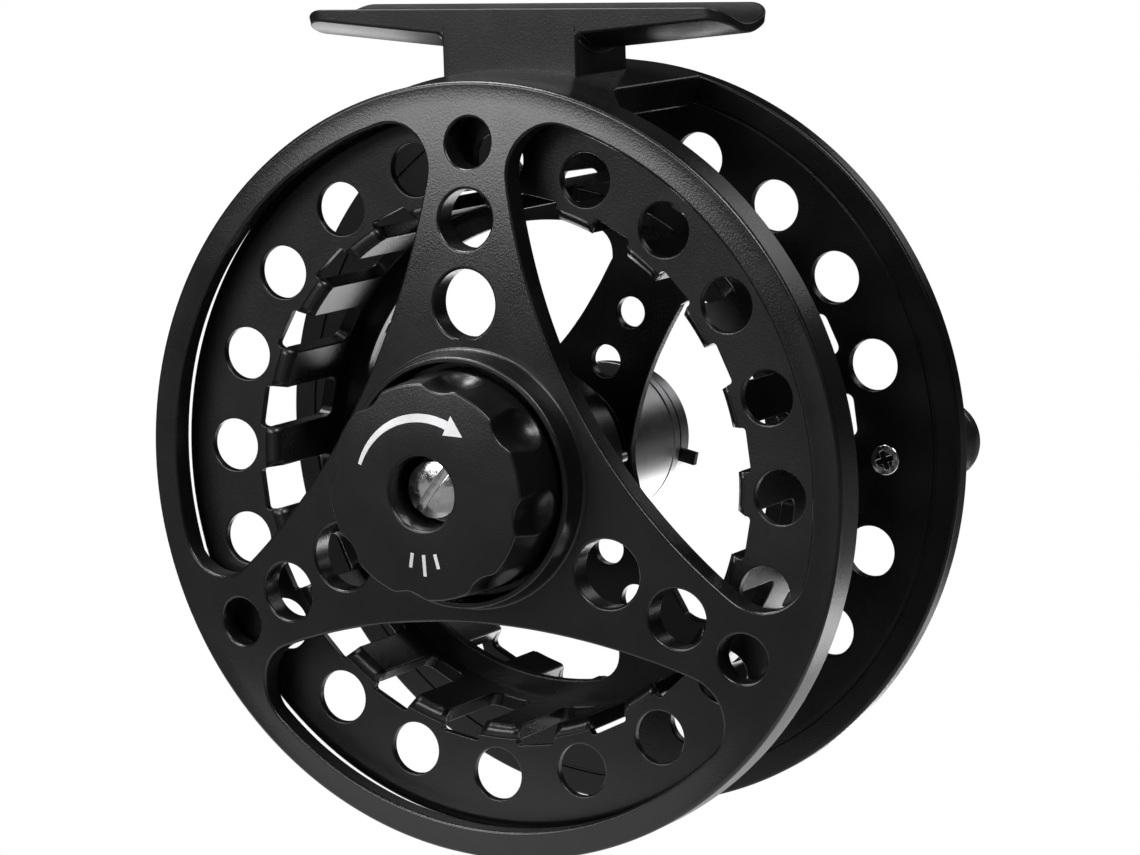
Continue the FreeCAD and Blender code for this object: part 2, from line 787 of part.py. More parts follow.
def far_flange():
    """The larger drilled flange, with the handle screw's seat in its first place."""
    body = new_body("far_flange")
    low, high = d.handle_reach, d.handle_reach + d.far_flange_thickness
    turn_profile(body, "flange_turning", ring_corners(d.slot_reach, d.far_flange_radius, low, high))
    count = int(d.hole_count.value)
    step = 360.0 / count
    hole = new_sketch(body, "hole_outline", station=high, turn=d.hole_start.value + step)
    circle(hole, d.hole_reach, NOTHING, d.far_hole_radius)
    cut = pocket(body, hole, d.far_flange_thickness, "hole")
    repeat_round(body, cut, count - 1, "holes", angle=360.0 - 2 * step)
    seat = new_sketch(body, "handle_screw_seat", station=high, turn=d.hole_start.value)
    circle(seat, d.hole_reach, NOTHING, d.handle_screw_head_radius)
    pocket(body, seat, d.handle_screw_head_height, "screw_seat")
    bore = new_sketch(body, "handle_screw_hole", station=high, turn=d.hole_start.value)
    circle(bore, d.hole_reach, NOTHING, d.handle_screw_radius)
    pocket(body, bore, d.far_flange_thickness, "screw_hole")
    return body


def arbor():
    """The large arbor that the line is wound on, slotted from both ends and lipped at both flanges."""
    body = new_body("arbor")
    front, back = behind(d.flange_recess), d.handle_reach
    turn_profile(body, "arbor_turning", [
        (d.arbor_bore, back),
        (d.slot_reach, back),
        (d.slot_reach, back + d.far_flange_thickness),
        (d.arbor_radius, back + d.far_flange_thickness),
        (d.arbor_radius, front - d.near_flange_thickness),
        (d.slot_reach, front - d.near_flange_thickness),
        (d.slot_reach, front),
        (d.arbor_bore, front),
    ])
    cut_slots(body)
    return body


def spool_web():
    """The three-spoke web inside the arbor and the boss for the hub sleeve."""
    body = new_body("spool_web")
    turn_profile(body, "web_turning", [
        (d.boss_bore, behind(d.boss_back)),
        (d.boss_radius, behind(d.boss_back)),
        (d.boss_radius, behind(d.web_back)),
        (d.arbor_bore, behind(d.web_back)),
        (d.arbor_bore, behind(d.web_front)),
        (d.boss_radius, behind(d.web_front)),
        (d.boss_radius, behind(d.boss_front)),
        (d.boss_bore, behind(d.boss_front)),
    ])
    cut_web(body)
    click = new_sketch(body, "click_hole_centre", station=behind(d.boss_front))
    circle(click, d.click_reach, NOTHING, d.click_radius + d.running_gap)
    pocket(body, click, d.click_depth, "click_hole")
    return body


def cut_web(body):
    """Leave three drilled spokes between the hub and the arbor."""
    front, thickness = behind(d.web_front), d.web_back - d.web_front
    opening = new_sketch(body, "web_opening", station=front, turn=d.web_turn.value + WINDOW_STEP / 2)
    half = d.web_spoke_half_width
    spoke = math.radians(WINDOW_STEP / 2)

    def side_point(radius, sign):
        """Where a spoke's straight side meets a radius, seen from the middle of the opening."""
        angle = spoke - math.asin(half.value / radius.value)
        text = "(%g deg - asin(%s / %s))" % (WINDOW_STEP / 2, half.text, radius.text)
        across = Size(radius.value * math.cos(angle), "(%s * cos(%s))" % (radius.text, text))
        up = sign * radius.value * math.sin(angle)
        return across, Size(up, "(%d * %s * sin(%s))" % (sign, radius.text, text))

    inner, outer = d.web_opening_inner, d.web_opening_radius
    sector(opening, inner, outer, side_point)
    cut = pocket(body, opening, thickness, "opening")
    repeat_round(body, cut, SPOKE_COUNT, "openings")

    drill = new_sketch(body, "web_hole_centres", station=front, turn=d.web_turn.value)
    circle(drill, d.web_outer_hole_reach, NOTHING, d.web_outer_hole_radius)
    circle(drill, d.web_inner_hole_reach, NOTHING, d.web_inner_hole_radius)
    cut = pocket(body, drill, thickness, "web_hole_pair")
    repeat_round(body, cut, SPOKE_COUNT, "web_holes")


def sector(sketch, inner, outer, side_point):
    """An outline between two arcs round the axis, closed by two straight sides."""
    axis = FreeCAD.Vector(0, 0, 1)
    for radius in (inner, outer):
        low, high = vector(side_point(radius, -1)), vector(side_point(radius, 1))
        arc = Part.ArcOfCircle(Part.Circle(FreeCAD.Vector(), axis, radius.value),
                               math.atan2(low.y, low.x), math.atan2(high.y, high.x))
        edge = sketch.addGeometry(arc, False)
        sketch.addConstraint(Sketcher.Constraint("Coincident", edge, 3, ORIGIN, 1))
        bind(sketch, "Radius", (edge,), radius)
    for sign, end in ((-1, 1), (1, 2)):
        line = sketch.addGeometry(Part.LineSegment(vector(side_point(inner, sign)),
                                                   vector(side_point(outer, sign))), False)
        sketch.addConstraint(Sketcher.Constraint("Coincident", 0, end, line, 1))
        sketch.addConstraint(Sketcher.Constraint("Coincident", 1, end, line, 2))
        bind(sketch, "DistanceY", (ORIGIN, 1, line, 1), side_point(inner, sign)[1])
        bind(sketch, "DistanceY", (ORIGIN, 1, line, 2), side_point(outer, sign)[1])


def cut_slots(body):
    """Mill the arbor's long slots from both ends, halfway between the flange holes."""
    count = int(d.hole_count.value)
    turn = d.hole_start.value + 180.0 / count
    half = d.slot_width / 2
    start = d.arbor_bore - d.air_gap
    corners = [(start, -half), (d.slot_reach, -half), (d.slot_reach, half), (start, half)]
    front = new_sketch(body, "front_slot", station=behind(d.flange_recess), turn=turn)
    outline(front, corners)
    cut = pocket(body, front, d.front_slot_end - d.flange_recess, "front_slot_cut")
    repeat_round(body, cut, count, "front_slots")
    rear = new_sketch(body, "rear_slot", station=d.handle_reach, turn=turn)
    outline(rear, corners)
    depth = RIM_FACE - d.rear_slot_start - d.handle_reach
    cut = pocket(body, rear, depth, "rear_slot_cut", upwards=True)
    repeat_round(body, cut, count, "rear_slots")


def hub_sleeve():
    """The bright sleeve that carries the bearings, pressed into the spool's hub."""
    return turned_body("hub_sleeve", [
        (d.sleeve_bore, behind(d.sleeve_end)),
        (d.sleeve_radius, behind(d.sleeve_end)),
        (d.sleeve_radius, behind(d.boss_back)),
        (d.boss_bore, behind(d.boss_back)),
        (d.boss_bore, behind(d.boss_front)),
        (d.sleeve_bore, behind(d.boss_front)),
    ])


def bearing(name, bore, start, width):
    return ring(name, bore + d.running_gap, d.sleeve_bore, behind(start + width), behind(start))


def hub_cap():
    """The bright end cap, with a channel across its inner face for the release latch."""
    body = new_body("hub_cap")
    turn_profile(body, "cap_turning", [
        (d.cap_bore, behind(d.cap_end)),
        (d.cap_radius, behind(d.cap_end)),
        (d.cap_radius, behind(d.cap_neck_end)),
        (d.cap_neck_radius, behind(d.cap_neck_end)),
        (d.cap_neck_radius, behind(d.sleeve_end)),
        (d.cap_bore, behind(d.sleeve_end)),
    ])
    channel = new_sketch(body, "channel_outline", station=behind(d.sleeve_end), turn=d.latch_turn.value)
    half = d.latch_channel_half_width
    outline(channel, [(-d.latch_channel_back, -half), (d.latch_tab_reach, -half),
                      (d.latch_tab_reach, half), (-d.latch_channel_back, half)])
    pocket(body, channel, d.latch_channel_depth, "latch_channel")
    return body


def release_latch():
    """The sliding plate that grips the spindle's groove, with a tab to press."""
    body = new_body("release_latch")
    station = behind(d.latch_start + d.latch_thickness)
    plate = new_sketch(body, "plate_outline", station=station, turn=d.latch_turn.value)
    half, tab = d.latch_half_width, d.latch_tab_half_width
    outline(plate, [
        (-d.latch_plate_back, -half), (d.latch_plate_reach, -half), (d.latch_plate_reach, -tab),
        (d.latch_tab_reach, -tab), (d.latch_tab_reach, tab), (d.latch_plate_reach, tab),
        (d.latch_plate_reach, half), (-d.latch_plate_back, half),
    ])
    circle(plate, d.latch_travel, NOTHING, d.latch_hole_radius)
    pad(body, plate, d.latch_thickness, "latch_plate")
    return body


def coil_spring(name, radius, low, high, place=None, reach=NOTHING):
    """A short spring as a sleeve, because its coils are finer than anything that it touches."""
    body = new_body(name, place)
    section = new_sketch(body, "spring_section", station=low)
    circle(section, reach, NOTHING, radius)
    circle(section, reach, NOTHING, radius / 2)
    pad(body, section, high - low, "spring_body")
    return body


def latch_spring():
    """The spring behind the latch plate, lying along the latch's travel."""
    along = FreeCAD.Placement(FreeCAD.Vector(), FreeCAD.Rotation(FreeCAD.Vector(0, 0, 1), d.latch_turn.value))
    middle = behind(d.latch_start + d.latch_thickness / 2)
    start = FreeCAD.Vector(-d.latch_channel_back.value, 0, middle.value)
    lay = FreeCAD.Placement(start, FreeCAD.Rotation(FreeCAD.Vector(0, 1, 0), 90))
    place = on_axis().multiply(along).multiply(lay)
    return coil_spring("latch_spring", d.latch_spring_radius, NOTHING, d.latch_spring_length, place)


def plunger(name, radius, low, high, reach):
    """A small plunger that lies along the axis at a reach to the right of it."""
    body = new_body(name)
    section = new_sketch(body, "plunger_section", station=low)
    circle(section, reach, NOTHING, radius)
    pad(body, section, high - low, "plunger_body")
    return body


# ---------------------------------------------------------------- handle

def handle_place():
    across, up = polar(d.hole_reach, d.hole_start)
    return on_axis(across, up)


def handle_screw():
    face = d.handle_reach + d.far_flange_thickness
    seat = face - d.handle_screw_head_height
    return turned_body("handle_screw", [
        (NOTHING, seat - d.handle_screw_length),
        (d.handle_screw_radius, seat - d.handle_screw_length),
        (d.handle_screw_radius, seat),
        (d.handle_screw_head_radius, seat),
        (d.handle_screw_head_radius, face),
        (NOTHING, face),
    ], handle_place())


def handle_post():
    """The post that the handle turns on, with a foot against the flange."""
    root = d.handle_reach
    screw_end = root + d.far_flange_thickness - d.handle_screw_head_height - d.handle_screw_length
    return turned_body("handle_post", [
        (NOTHING, d.handle_cap_height),
        (d.handle_post_radius, d.handle_cap_height),
        (d.handle_post_radius, root - d.handle_base_height),
        (d.handle_base_radius, root - d.handle_base_height),
        (d.handle_base_radius, root),
        (d.handle_screw_radius, root),
        (d.handle_screw_radius, screw_end),
        (NOTHING, screw_end),
    ], handle_place())


def handle_knob():
    """The tapered grip, waisted near the spool."""
    high = d.handle_reach - d.handle_base_height - d.air_gap
    low = high - d.handle_knob_length
    bore = d.handle_post_radius + d.running_gap
    return turned_body("handle_knob", [
        (bore, low),
        (d.handle_knob_radius - d.knob_edge, low),
        (d.handle_knob_radius, low + d.knob_edge),
        (d.handle_knob_radius, low + d.handle_knob_length / 3),
        (d.handle_waist_radius, high - d.handle_knob_length / 4),
        (d.handle_waist_radius, high - d.knob_edge),
        (d.handle_waist_radius - d.knob_edge, high),
        (bore, high),
    ], handle_place())


def handle_cap():
    """The cap that keeps the grip on its post."""
    return turned_body("handle_cap", [
        (NOTHING, NOTHING),
        (d.handle_base_radius - d.knob_edge, NOTHING),
        (d.handle_base_radius, d.handle_cap_height / 2),
        (d.handle_base_radius, d.handle_cap_height),
        (NOTHING, d.handle_cap_height),
    ], handle_place())


# ---------------------------------------------------------------- assembly

def build():
    """Make every piece and return the objects that are written out."""
    bore = d.washer_bore
    click_back, click_end = behind(d.click_back_depth), behind(d.boss_front + d.click_depth)
    detent_floor = ahead(d.recess_floor - d.detent_depth)
    detent_top = ahead(d.knob_base_height - d.running_gap)
    detent_low = detent_top - d.detent_length
    return [
        frame(), frame_bridge(), reel_foot(), foot_screws(), spindle(), knob_screw(),
        drag_disc("keyed_plate", 1, d.spindle_radius),
        drag_knob(), drag_nut(),
        thrust_pins(), spring_washers(), pressure_plate(),
        drag_drum(), drag_disc("front_friction_disc", 0, bore), drag_disc("rear_friction_disc", 2, bore),
        near_flange(), far_flange(), arbor(), spool_web(), hub_sleeve(),
        bearing("front_bearing", d.stub_radius, d.front_bearing_start, d.bearing_width),
        bearing("roller_clutch", d.stub_radius, d.clutch_start, d.clutch_length),
        bearing("rear_bearing", d.spindle_radius, d.rear_bearing_start, d.bearing_width),
        hub_cap(), release_latch(), latch_spring(),
        plunger("click_plunger", d.click_radius, click_back, behind(d.click_tip_depth), d.click_reach),
        coil_spring("click_spring", d.click_radius, click_end, click_back, reach=d.click_reach),
        plunger("knob_detent", d.detent_radius, detent_low, detent_top, d.detent_reach),
        coil_spring("detent_spring", d.detent_radius, detent_floor, detent_low, reach=d.detent_reach),
        handle_screw(), handle_post(), handle_knob(), handle_cap(),
    ]


def check(pieces):
    """Stop if anything in the document failed or any piece has no sound solid."""
    for thing in doc.Objects:
        if "Invalid" in thing.State or "Error" in thing.State:
            raise RuntimeError("%s failed: %s" % (thing.Name, thing.State))
    for piece in pieces:
        shape = piece.Shape
        if shape.isNull() or not shape.isValid() or not shape.Solids:
            raise RuntimeError("%s has no sound solid" % piece.Label)


def write(pieces):
    os.makedirs("parts", exist_ok=True)
    for piece in pieces:
        piece.Shape.exportStep("parts/%s.step" % piece.Label)
        print("%-20s %2d solid(s) %9.1f mm3" % (piece.Label, len(piece.Shape.Solids), piece.Shape.Volume))


pieces = build()
doc.recompute()
check(pieces)
write(pieces)
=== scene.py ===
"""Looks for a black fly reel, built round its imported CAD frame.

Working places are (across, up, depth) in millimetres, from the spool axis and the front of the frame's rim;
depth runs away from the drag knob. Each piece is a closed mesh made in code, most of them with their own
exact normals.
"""
import json
import math

import bpy
import numpy as np
from mathutils import Matrix, Vector
from mathutils.geometry import delaunay_2d_cdt


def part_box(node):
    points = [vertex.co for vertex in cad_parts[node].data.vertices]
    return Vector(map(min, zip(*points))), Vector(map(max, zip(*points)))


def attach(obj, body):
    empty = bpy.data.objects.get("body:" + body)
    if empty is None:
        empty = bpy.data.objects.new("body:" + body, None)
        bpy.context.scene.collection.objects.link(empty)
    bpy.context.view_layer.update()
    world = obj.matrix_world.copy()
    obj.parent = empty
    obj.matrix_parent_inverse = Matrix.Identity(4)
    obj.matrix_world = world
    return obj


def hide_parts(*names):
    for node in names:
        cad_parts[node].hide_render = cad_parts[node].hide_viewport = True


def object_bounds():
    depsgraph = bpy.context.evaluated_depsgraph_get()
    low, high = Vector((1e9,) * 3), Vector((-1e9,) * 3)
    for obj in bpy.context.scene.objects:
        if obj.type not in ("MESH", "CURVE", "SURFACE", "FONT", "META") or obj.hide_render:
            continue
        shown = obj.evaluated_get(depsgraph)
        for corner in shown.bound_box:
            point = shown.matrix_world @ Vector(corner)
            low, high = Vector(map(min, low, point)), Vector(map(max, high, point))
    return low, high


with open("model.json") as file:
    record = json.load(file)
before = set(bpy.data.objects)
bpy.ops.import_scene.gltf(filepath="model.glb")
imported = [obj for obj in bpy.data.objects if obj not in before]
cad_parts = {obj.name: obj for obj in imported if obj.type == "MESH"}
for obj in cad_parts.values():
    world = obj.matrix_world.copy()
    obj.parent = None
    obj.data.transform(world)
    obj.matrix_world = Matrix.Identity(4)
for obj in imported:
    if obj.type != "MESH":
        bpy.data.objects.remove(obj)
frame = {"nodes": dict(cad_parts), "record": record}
CAD_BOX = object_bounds()

MM = 0.001
RIM_DEPTH = 5.0
RIM_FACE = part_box("frame")[1].y - RIM_DEPTH * MM
AXIS_UP = (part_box("far_flange")[0].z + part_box("far_flange")[1].z) / 2
TURN = 2 * math.pi


# ---- outlines

def arc(centre, radius, start, end, step=0.5):
    """Points along an arc, from one angle to another, in degrees."""
    span = math.radians(end - start)
    count = max(4, math.ceil(abs(span) * radius / step))
    angles = math.radians(start) + span * np.arange(count + 1) / count
    return np.stack([centre[0] + radius * np.cos(angles), centre[1] + radius * np.sin(angles)], 1)


def circle(centre, radius, count):
    angles = TURN * np.arange(count) / count
    return np.stack([centre[0] + radius * np.cos(angles), centre[1] + radius * np.sin(angles)], 1)


def joined(*runs):
    """One closed path from several runs, without doubled points."""
    path = np.concatenate(runs)
    gaps = np.linalg.norm(path - np.roll(path, 1, 0), axis=1)
    return path[gaps > 1e-4]


def turned(path, degrees):
    turn = math.radians(degrees)
    spin = np.array([[math.cos(turn), math.sin(turn)], [-math.sin(turn), math.cos(turn)]])
    return np.asarray(path) @ spin


def rounded(corners, closed=True, steps=5):
    """Points and right-hand normals of a run of (a, b, radius) corners, with each corner rounded."""
    points, normals = [], []
    count = len(corners)
    for i, (a, b, radius) in enumerate(corners):
        here = np.array([a, b], float)
        if not closed and i in (0, count - 1):
            other = corners[1] if i == 0 else corners[-2]
            way = (np.array(other[:2]) - here) * (1 if i == 0 else -1)
            way = way / np.linalg.norm(way)
            points.append(here)
            normals.append((way[1], -way[0]))
            continue
        before = here - np.array(corners[i - 1][:2], float)
        after = np.array(corners[(i + 1) % count][:2], float) - here
        before, after = before / np.linalg.norm(before), after / np.linalg.norm(after)
        bend = math.atan2(before[0] * after[1] - before[1] * after[0], float(before @ after))
        if radius <= 0 or abs(bend) < 1e-3:
            middle = before + after
            middle = middle / np.linalg.norm(middle)
            points.append(here)
            normals.append((middle[1], -middle[0]))
            continue
        setback = radius * math.tan(abs(bend) / 2)
        start = here - before * setback
        side = np.array([-before[1], before[0]]) * math.copysign(1, bend)
        centre = start + side * radius
        for k in range(steps + 1):
            angle = bend * k / steps
            c, s = math.cos(angle), math.sin(angle)
            spoke = -side
            spoke = np.array([spoke[0] * c - spoke[1] * s, spoke[0] * s + spoke[1] * c])
            points.append(centre + spoke * radius)
            normals.append(tuple(spoke * math.copysign(1, bend)))
    return np.array(points), np.array(normals)


def left_normals(path, wrap=None):
    """Unit sideways directions to the left of a closed path, lengthened at its corners."""
    ahead = np.roll(path, -1, 0) - path
    if wrap:
        ahead[:, 0] = (ahead[:, 0] + wrap / 2) % wrap - wrap / 2
    ahead /= np.linalg.norm(ahead, axis=1)[:, None]
    side = np.stack([-ahead[:, 1], ahead[:, 0]], 1)
    both = side + np.roll(side, 1, 0)
    both /= np.linalg.norm(both, axis=1)[:, None]
    return both / np.clip((both * side).sum(1), 0.5, 1)[:, None]


def area(path):
    x, y = path[:, 0], path[:, 1]
    return float((x * np.roll(y, -1) - np.roll(x, -1) * y).sum() / 2)


# ---- solids

def flat_skin(front, back):
    """A face across the axis whose depth on each side is a function of the distance from the axis."""
    def skin(points, side):
        radius = np.hypot(points[:, 0], points[:, 1])
        depth = (front, back)[side]
        here = depth(radius)
        slope = (depth(radius + 0.01) - here) / 0.01
        place = np.stack([points[:, 0], here, points[:, 1]], 1)
        away = points / np.maximum(radius, 1e-9)[:, None]
        sign = -1 if side == 0 else 1
        normal = np.stack([-sign * slope * away[:, 0], np.full(len(points), float(sign)),
                           -sign * slope * away[:, 1]], 1)
        normal /= np.linalg.norm(normal, axis=1)[:, None]
        across = np.tile([1.0, 0, 0], (len(points), 1))
        up = np.tile([0, 0, 1.0], (len(points), 1))
        return place, across, up, normal
    return skin


def round_skin(inner, outer, unroll):
    """A wall round the axis: a point is (distance round at the unrolled radius, depth)."""
    def skin(points, side):
        angle = points[:, 0] / unroll
        c, s = np.cos(angle), np.sin(angle)
        zero = np.zeros(len(points))
        radius = (inner, outer)[side]
        reach = radius(points[:, 1]) if callable(radius) else np.full(len(points), float(radius))
        sign = -1 if side == 0 else 1
        place = np.stack([reach * c, points[:, 1], reach * s], 1)
        return (place, np.stack([-s, zero, c], 1), np.tile([0, 1.0, 0], (len(points), 1)),
                np.stack([sign * c, zero, sign * s], 1))
    return skin


def edge_profile(front, back, steps=5):
    """A wall with a quarter round at the front and at the back."""
    stations = []
    for k in range(steps + 1):
        angle = math.pi / 2 * (1 - k / steps)
        c, s = math.cos(angle), math.sin(angle)
        stations.append((0, front * (1 - c), front * (1 - s), c, s))
    for k in range(steps + 1):
        angle = math.pi / 2 * k / steps
        c, s = math.cos(angle), math.sin(angle)
        stations.append((1, back * (1 - c), back * (1 - s), c, s))
    return stations


def turned_profile(corners, facing=1, steps=5):
    """A wall turned round the axis through rounded (radius, depth) corners; facing -1 is an inner wall."""
    points, normals = rounded(corners, closed=False, steps=steps)
    return [(None, p[0], p[1], n[0] * facing, n[1] * facing) for p, n in zip(points, normals)]


def ring_of(path, left, station, skin):
    """Places, normals and flat coordinates of one ring of a wall."""
    side, a, b, out, face = station
    if side is None:
        away = path / np.linalg.norm(path, axis=1)[:, None]
        place = np.stack([a * away[:, 0], np.full(len(path), float(b)), a * away[:, 1]], 1)
        normal = np.stack([out * away[:, 0], np.full(len(path), float(face)), out * away[:, 1]], 1)
        return place, normal, away * a
    flat = path + left * a
    place, across, up, normal = skin(flat, side)
    unit = left / np.linalg.norm(left, axis=1)[:, None]
    outwards = -(unit[:, :1] * across + unit[:, 1:] * up)
    return place - normal * b, normal * face + outwards * out, flat


def inside_of(points, loops):
    """Which points lie inside an odd number of the closed loops."""
    odd = np.zeros(len(points), bool)
    for loop in loops:
        nxt = np.roll(loop, -1, 0)
        for first in range(0, len(points), 4000):
            p = points[first:first + 4000]
            over = (loop[None, :, 1] > p[:, None, 1]) != (nxt[None, :, 1] > p[:, None, 1])
            rise = np.where(nxt[:, 1] == loop[:, 1], 1e-12, nxt[:, 1] - loop[:, 1])
            cross = loop[:, 0] + (p[:, None, 1] - loop[:, 1]) * (nxt[:, 0] - loop[:, 0]) / rise
            odd[first:first + 4000] ^= ((over & (p[:, None, 0] < cross)).sum(1) % 2).astype(bool)
    return odd


def fill(loops, extra):
    """Triangles between closed loops; the numbers run through the loops and then the extra points."""
    points = np.concatenate(list(loops) + ([extra] if len(extra) else []))
    edges, base = [], 0
    for loop in loops:
        count = len(loop)
        edges += [(base + i, base + (i + 1) % count) for i in range(count)]
        base += count
    made = delaunay_2d_cdt([Vector(p) for p in points], edges, [], 0, 1e-7)
    origin = [ids[0] if ids else -1 for ids in made[3]]
    corners = np.array([[origin[i] for i in face] for face in made[2]])
    corners = corners[(corners >= 0).all(1)]
    keep = inside_of(points[corners].mean(1), loops)
    return corners[keep]


def spread(loops, spacing):
    """Points on a hexagonal grid inside the loops, clear of their edges."""
    low = np.min([loop.min(0) for loop in loops], 0)
    high = np.max([loop.max(0) for loop in loops], 0)
    rows = np.arange(low[1], high[1], spacing * 0.866)
    grid = []
    for number, row in enumerate(rows):
        xs = np.arange(low[0] + (number % 2) * spacing / 2, high[0], spacing)
        grid.append(np.stack([xs, np.full(len(xs), row)], 1))
    grid = np.concatenate(grid)
    grid = grid[inside_of(grid, loops)]
    edge = np.concatenate(loops)
    clear = np.ones(len(grid), bool)
    for first in range(0, len(grid), 500):
        part = grid[first:first + 500]
        gap = np.sqrt(((part[:, None, :] - edge[None, :, :]) ** 2).sum(2).min(1))
        clear[first:first + 500] = gap > spacing * 0.6
    return grid[clear]


def solid(loops, skin, spacing=None, chart=lambda p: p, unchart=None, wrap=None):
    """A closed solid: a wall round each loop, and a filled face at the front and at the back.

    Each loop is (path, profile), and has the solid on its left."""
    places, normals, faces, total = [], [], [], 0
    first_rings, last_rings, first_ids, last_ids = [], [], [], []
    for path, profile in loops:
        left = left_normals(path, wrap)
        ids = []
        for station in profile:
            place, normal, flat = ring_of(path, left, station, skin)
            places.append(place)
            normals.append(normal)
            ids.append(np.arange(total, total + len(path)))
            total += len(path)
            if station is profile[0]:
                first_rings.append(chart(flat))
            if station is profile[-1]:
                last_rings.append(chart(flat))
        first_ids.append(ids[0])
        last_ids.append(ids[-1])
        for front, back in zip(ids, ids[1:]):
            faces += np.stack([front, back, np.roll(back, -1), np.roll(front, -1)], 1).tolist()
    for side, rings, ids in ((0, first_rings, first_ids), (1, last_rings, last_ids)):
        extra = spread(rings, spacing) if spacing else np.zeros((0, 2))
        number = np.concatenate(ids + [np.arange(total, total + len(extra))])
        if len(extra):
            place, _, _, normal = skin(unchart(extra) if unchart else extra, side)
            places.append(place)
            normals.append(normal)
            total += len(extra)
        corners = number[fill(rings, extra)]
        flat = np.concatenate(rings + ([extra] if len(extra) else []))
        order = fill_order(corners, number, flat)
        faces += (order if side == 0 else order[:, ::-1]).tolist()
    return np.concatenate(places), np.concatenate(normals), faces


def fill_order(corners, number, flat):
    """The triangles, each turned to run anticlockwise on the flat."""
    where = {int(n): i for i, n in enumerate(number)}
    at = np.vectorize(where.get)(corners)
    a, b, c = flat[at[:, 0]], flat[at[:, 1]], flat[at[:, 2]]
    cross = (b[:, 0] - a[:, 0]) * (c[:, 1] - a[:, 1]) - (b[:, 1] - a[:, 1]) * (c[:, 0] - a[:, 0])
    return np.where((cross < 0)[:, None], corners[:, ::-1], corners)


def lathe(corners, centre=(0.0, 0.0), count=160, closed=True, steps=5):
    """A solid turned round a line along the axis from rounded (radius, depth) corners.

    The corners run with the solid on their left, so that their right-hand side faces out."""
    points, normals = rounded(corners, closed=closed, steps=steps)
    angles = TURN * np.arange(count) / count
    places, turned_normals, faces, rings = [], [], [], []
    total = 0
    for (radius, depth), (out, along) in zip(points, normals):
        if radius < 1e-6:
            places.append(np.array([[centre[0], depth, centre[1]]]))
            turned_normals.append(np.array([[0, math.copysign(1, along), 0]]))
            rings.append([total] * count)
            total += 1
            continue
        c, s = np.cos(angles), np.sin(angles)
        places.append(np.stack([centre[0] + radius * c, np.full(count, depth), centre[1] + radius * s], 1))
        turned_normals.append(np.stack([out * c, np.full(count, along), out * s], 1))
        rings.append(list(range(total, total + count)))
        total += count
    pairs = list(zip(rings, rings[1:])) + ([(rings[-1], rings[0])] if closed else [])
    for one, two in pairs:
        for i in range(count):
            j = (i + 1) % count
            quad = [one[i], two[i], two[j], one[j]]
            face = [v for k, v in enumerate(quad) if v != quad[k - 1]]
            if len(face) > 2:
                faces.append(face)
    return np.concatenate(places), np.concatenate(turned_normals), faces


def swept(places, count):
    """A closed strip through rings of count points each, one after another, with a face at each end."""
    faces, last = [], len(places) - count
    for start in range(0, last, count):
        for i in range(count):
            j = (i + 1) % count
            faces.append([start + i, start + j, start + count + j, start + count + i])
    faces.append(list(range(count))[::-1])
    faces.append(list(range(last, last + count)))
    return np.array(places), np.zeros((len(places), 3)), faces


def merged(*parts):
    places, normals, faces, base = [], [], [], 0
    for place, normal, face in parts:
        places.append(place)
        normals.append(normal)
        faces += [[v + base for v in f] for f in face]
        base += len(place)
    return np.concatenate(places), np.concatenate(normals), faces


def piece(name, made, material, body, nodes=(), exact=True):
    """Link a mesh made in working places, hang it on the body it rides on, and hide the CAD nodes it stands
    for.
    """
    places, normals, faces = made
    row = places * MM + np.array([0, RIM_FACE, AXIS_UP])
    mesh = bpy.data.meshes.new(name)
    mesh.from_pydata([tuple(p) for p in row], [], faces)
    mesh.validate(clean_customdata=False)
    mesh.polygons.foreach_set("use_smooth", [True] * len(mesh.polygons))
    if exact:
        unit = normals / np.maximum(np.linalg.norm(normals, axis=1), 1e-9)[:, None]
        mesh.normals_split_custom_set_from_vertices([tuple(n) for n in unit])
    mesh.materials.append(material)
    made_object = bpy.data.objects.new(name, mesh)
    bpy.context.scene.collection.objects.link(made_object)
    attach(made_object, body)
    if nodes:
        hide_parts(*nodes)
    return made_object


# ---- materials

def shader(name, colour, roughness, metallic=0.0):
    material = bpy.data.materials.new(name)
    material.use_nodes = True
    tree = material.node_tree
    surface = tree.nodes["Principled BSDF"]
    surface.inputs["Base Color"].default_value = (*colour, 1)
    surface.inputs["Metallic"].default_value = metallic
    surface.inputs["Roughness"].default_value = roughness
    return material, tree, surface


def noise(tree, scale, detail=3.0, stretch=(1, 1, 1)):
    place = tree.nodes.new("ShaderNodeTexCoord")
    mapping = tree.nodes.new("ShaderNodeMapping")
    mapping.inputs["Scale"].default_value = stretch
    grain = tree.nodes.new("ShaderNodeTexNoise")
    grain.inputs["Scale"].default_value = scale
    grain.inputs["Detail"].default_value = detail
    tree.links.new(place.outputs["Object"], mapping.inputs["Vector"])
    tree.links.new(mapping.outputs["Vector"], grain.inputs["Vector"])
    return grain.outputs["Fac"]


def spread_value(tree, factor, low, high):
    span = tree.nodes.new("ShaderNodeMapRange")
    span.inputs["From Min"].default_value = 0.3
    span.inputs["From Max"].default_value = 0.7
    span.inputs["To Min"].default_value = low
    span.inputs["To Max"].default_value = high
    tree.links.new(factor, span.inputs["Value"])
    return span.outputs["Result"]


def mixed_colour(tree, factor, one, two):
    ramp = tree.nodes.new("ShaderNodeValToRGB")
    ramp.color_ramp.elements[0].position = 0.35
    ramp.color_ramp.elements[1].position = 0.65
    ramp.color_ramp.elements[0].color = (*one, 1)
    ramp.color_ramp.elements[1].color = (*two, 1)
    tree.links.new(factor, ramp.inputs["Fac"])
    return ramp.outputs["Color"]


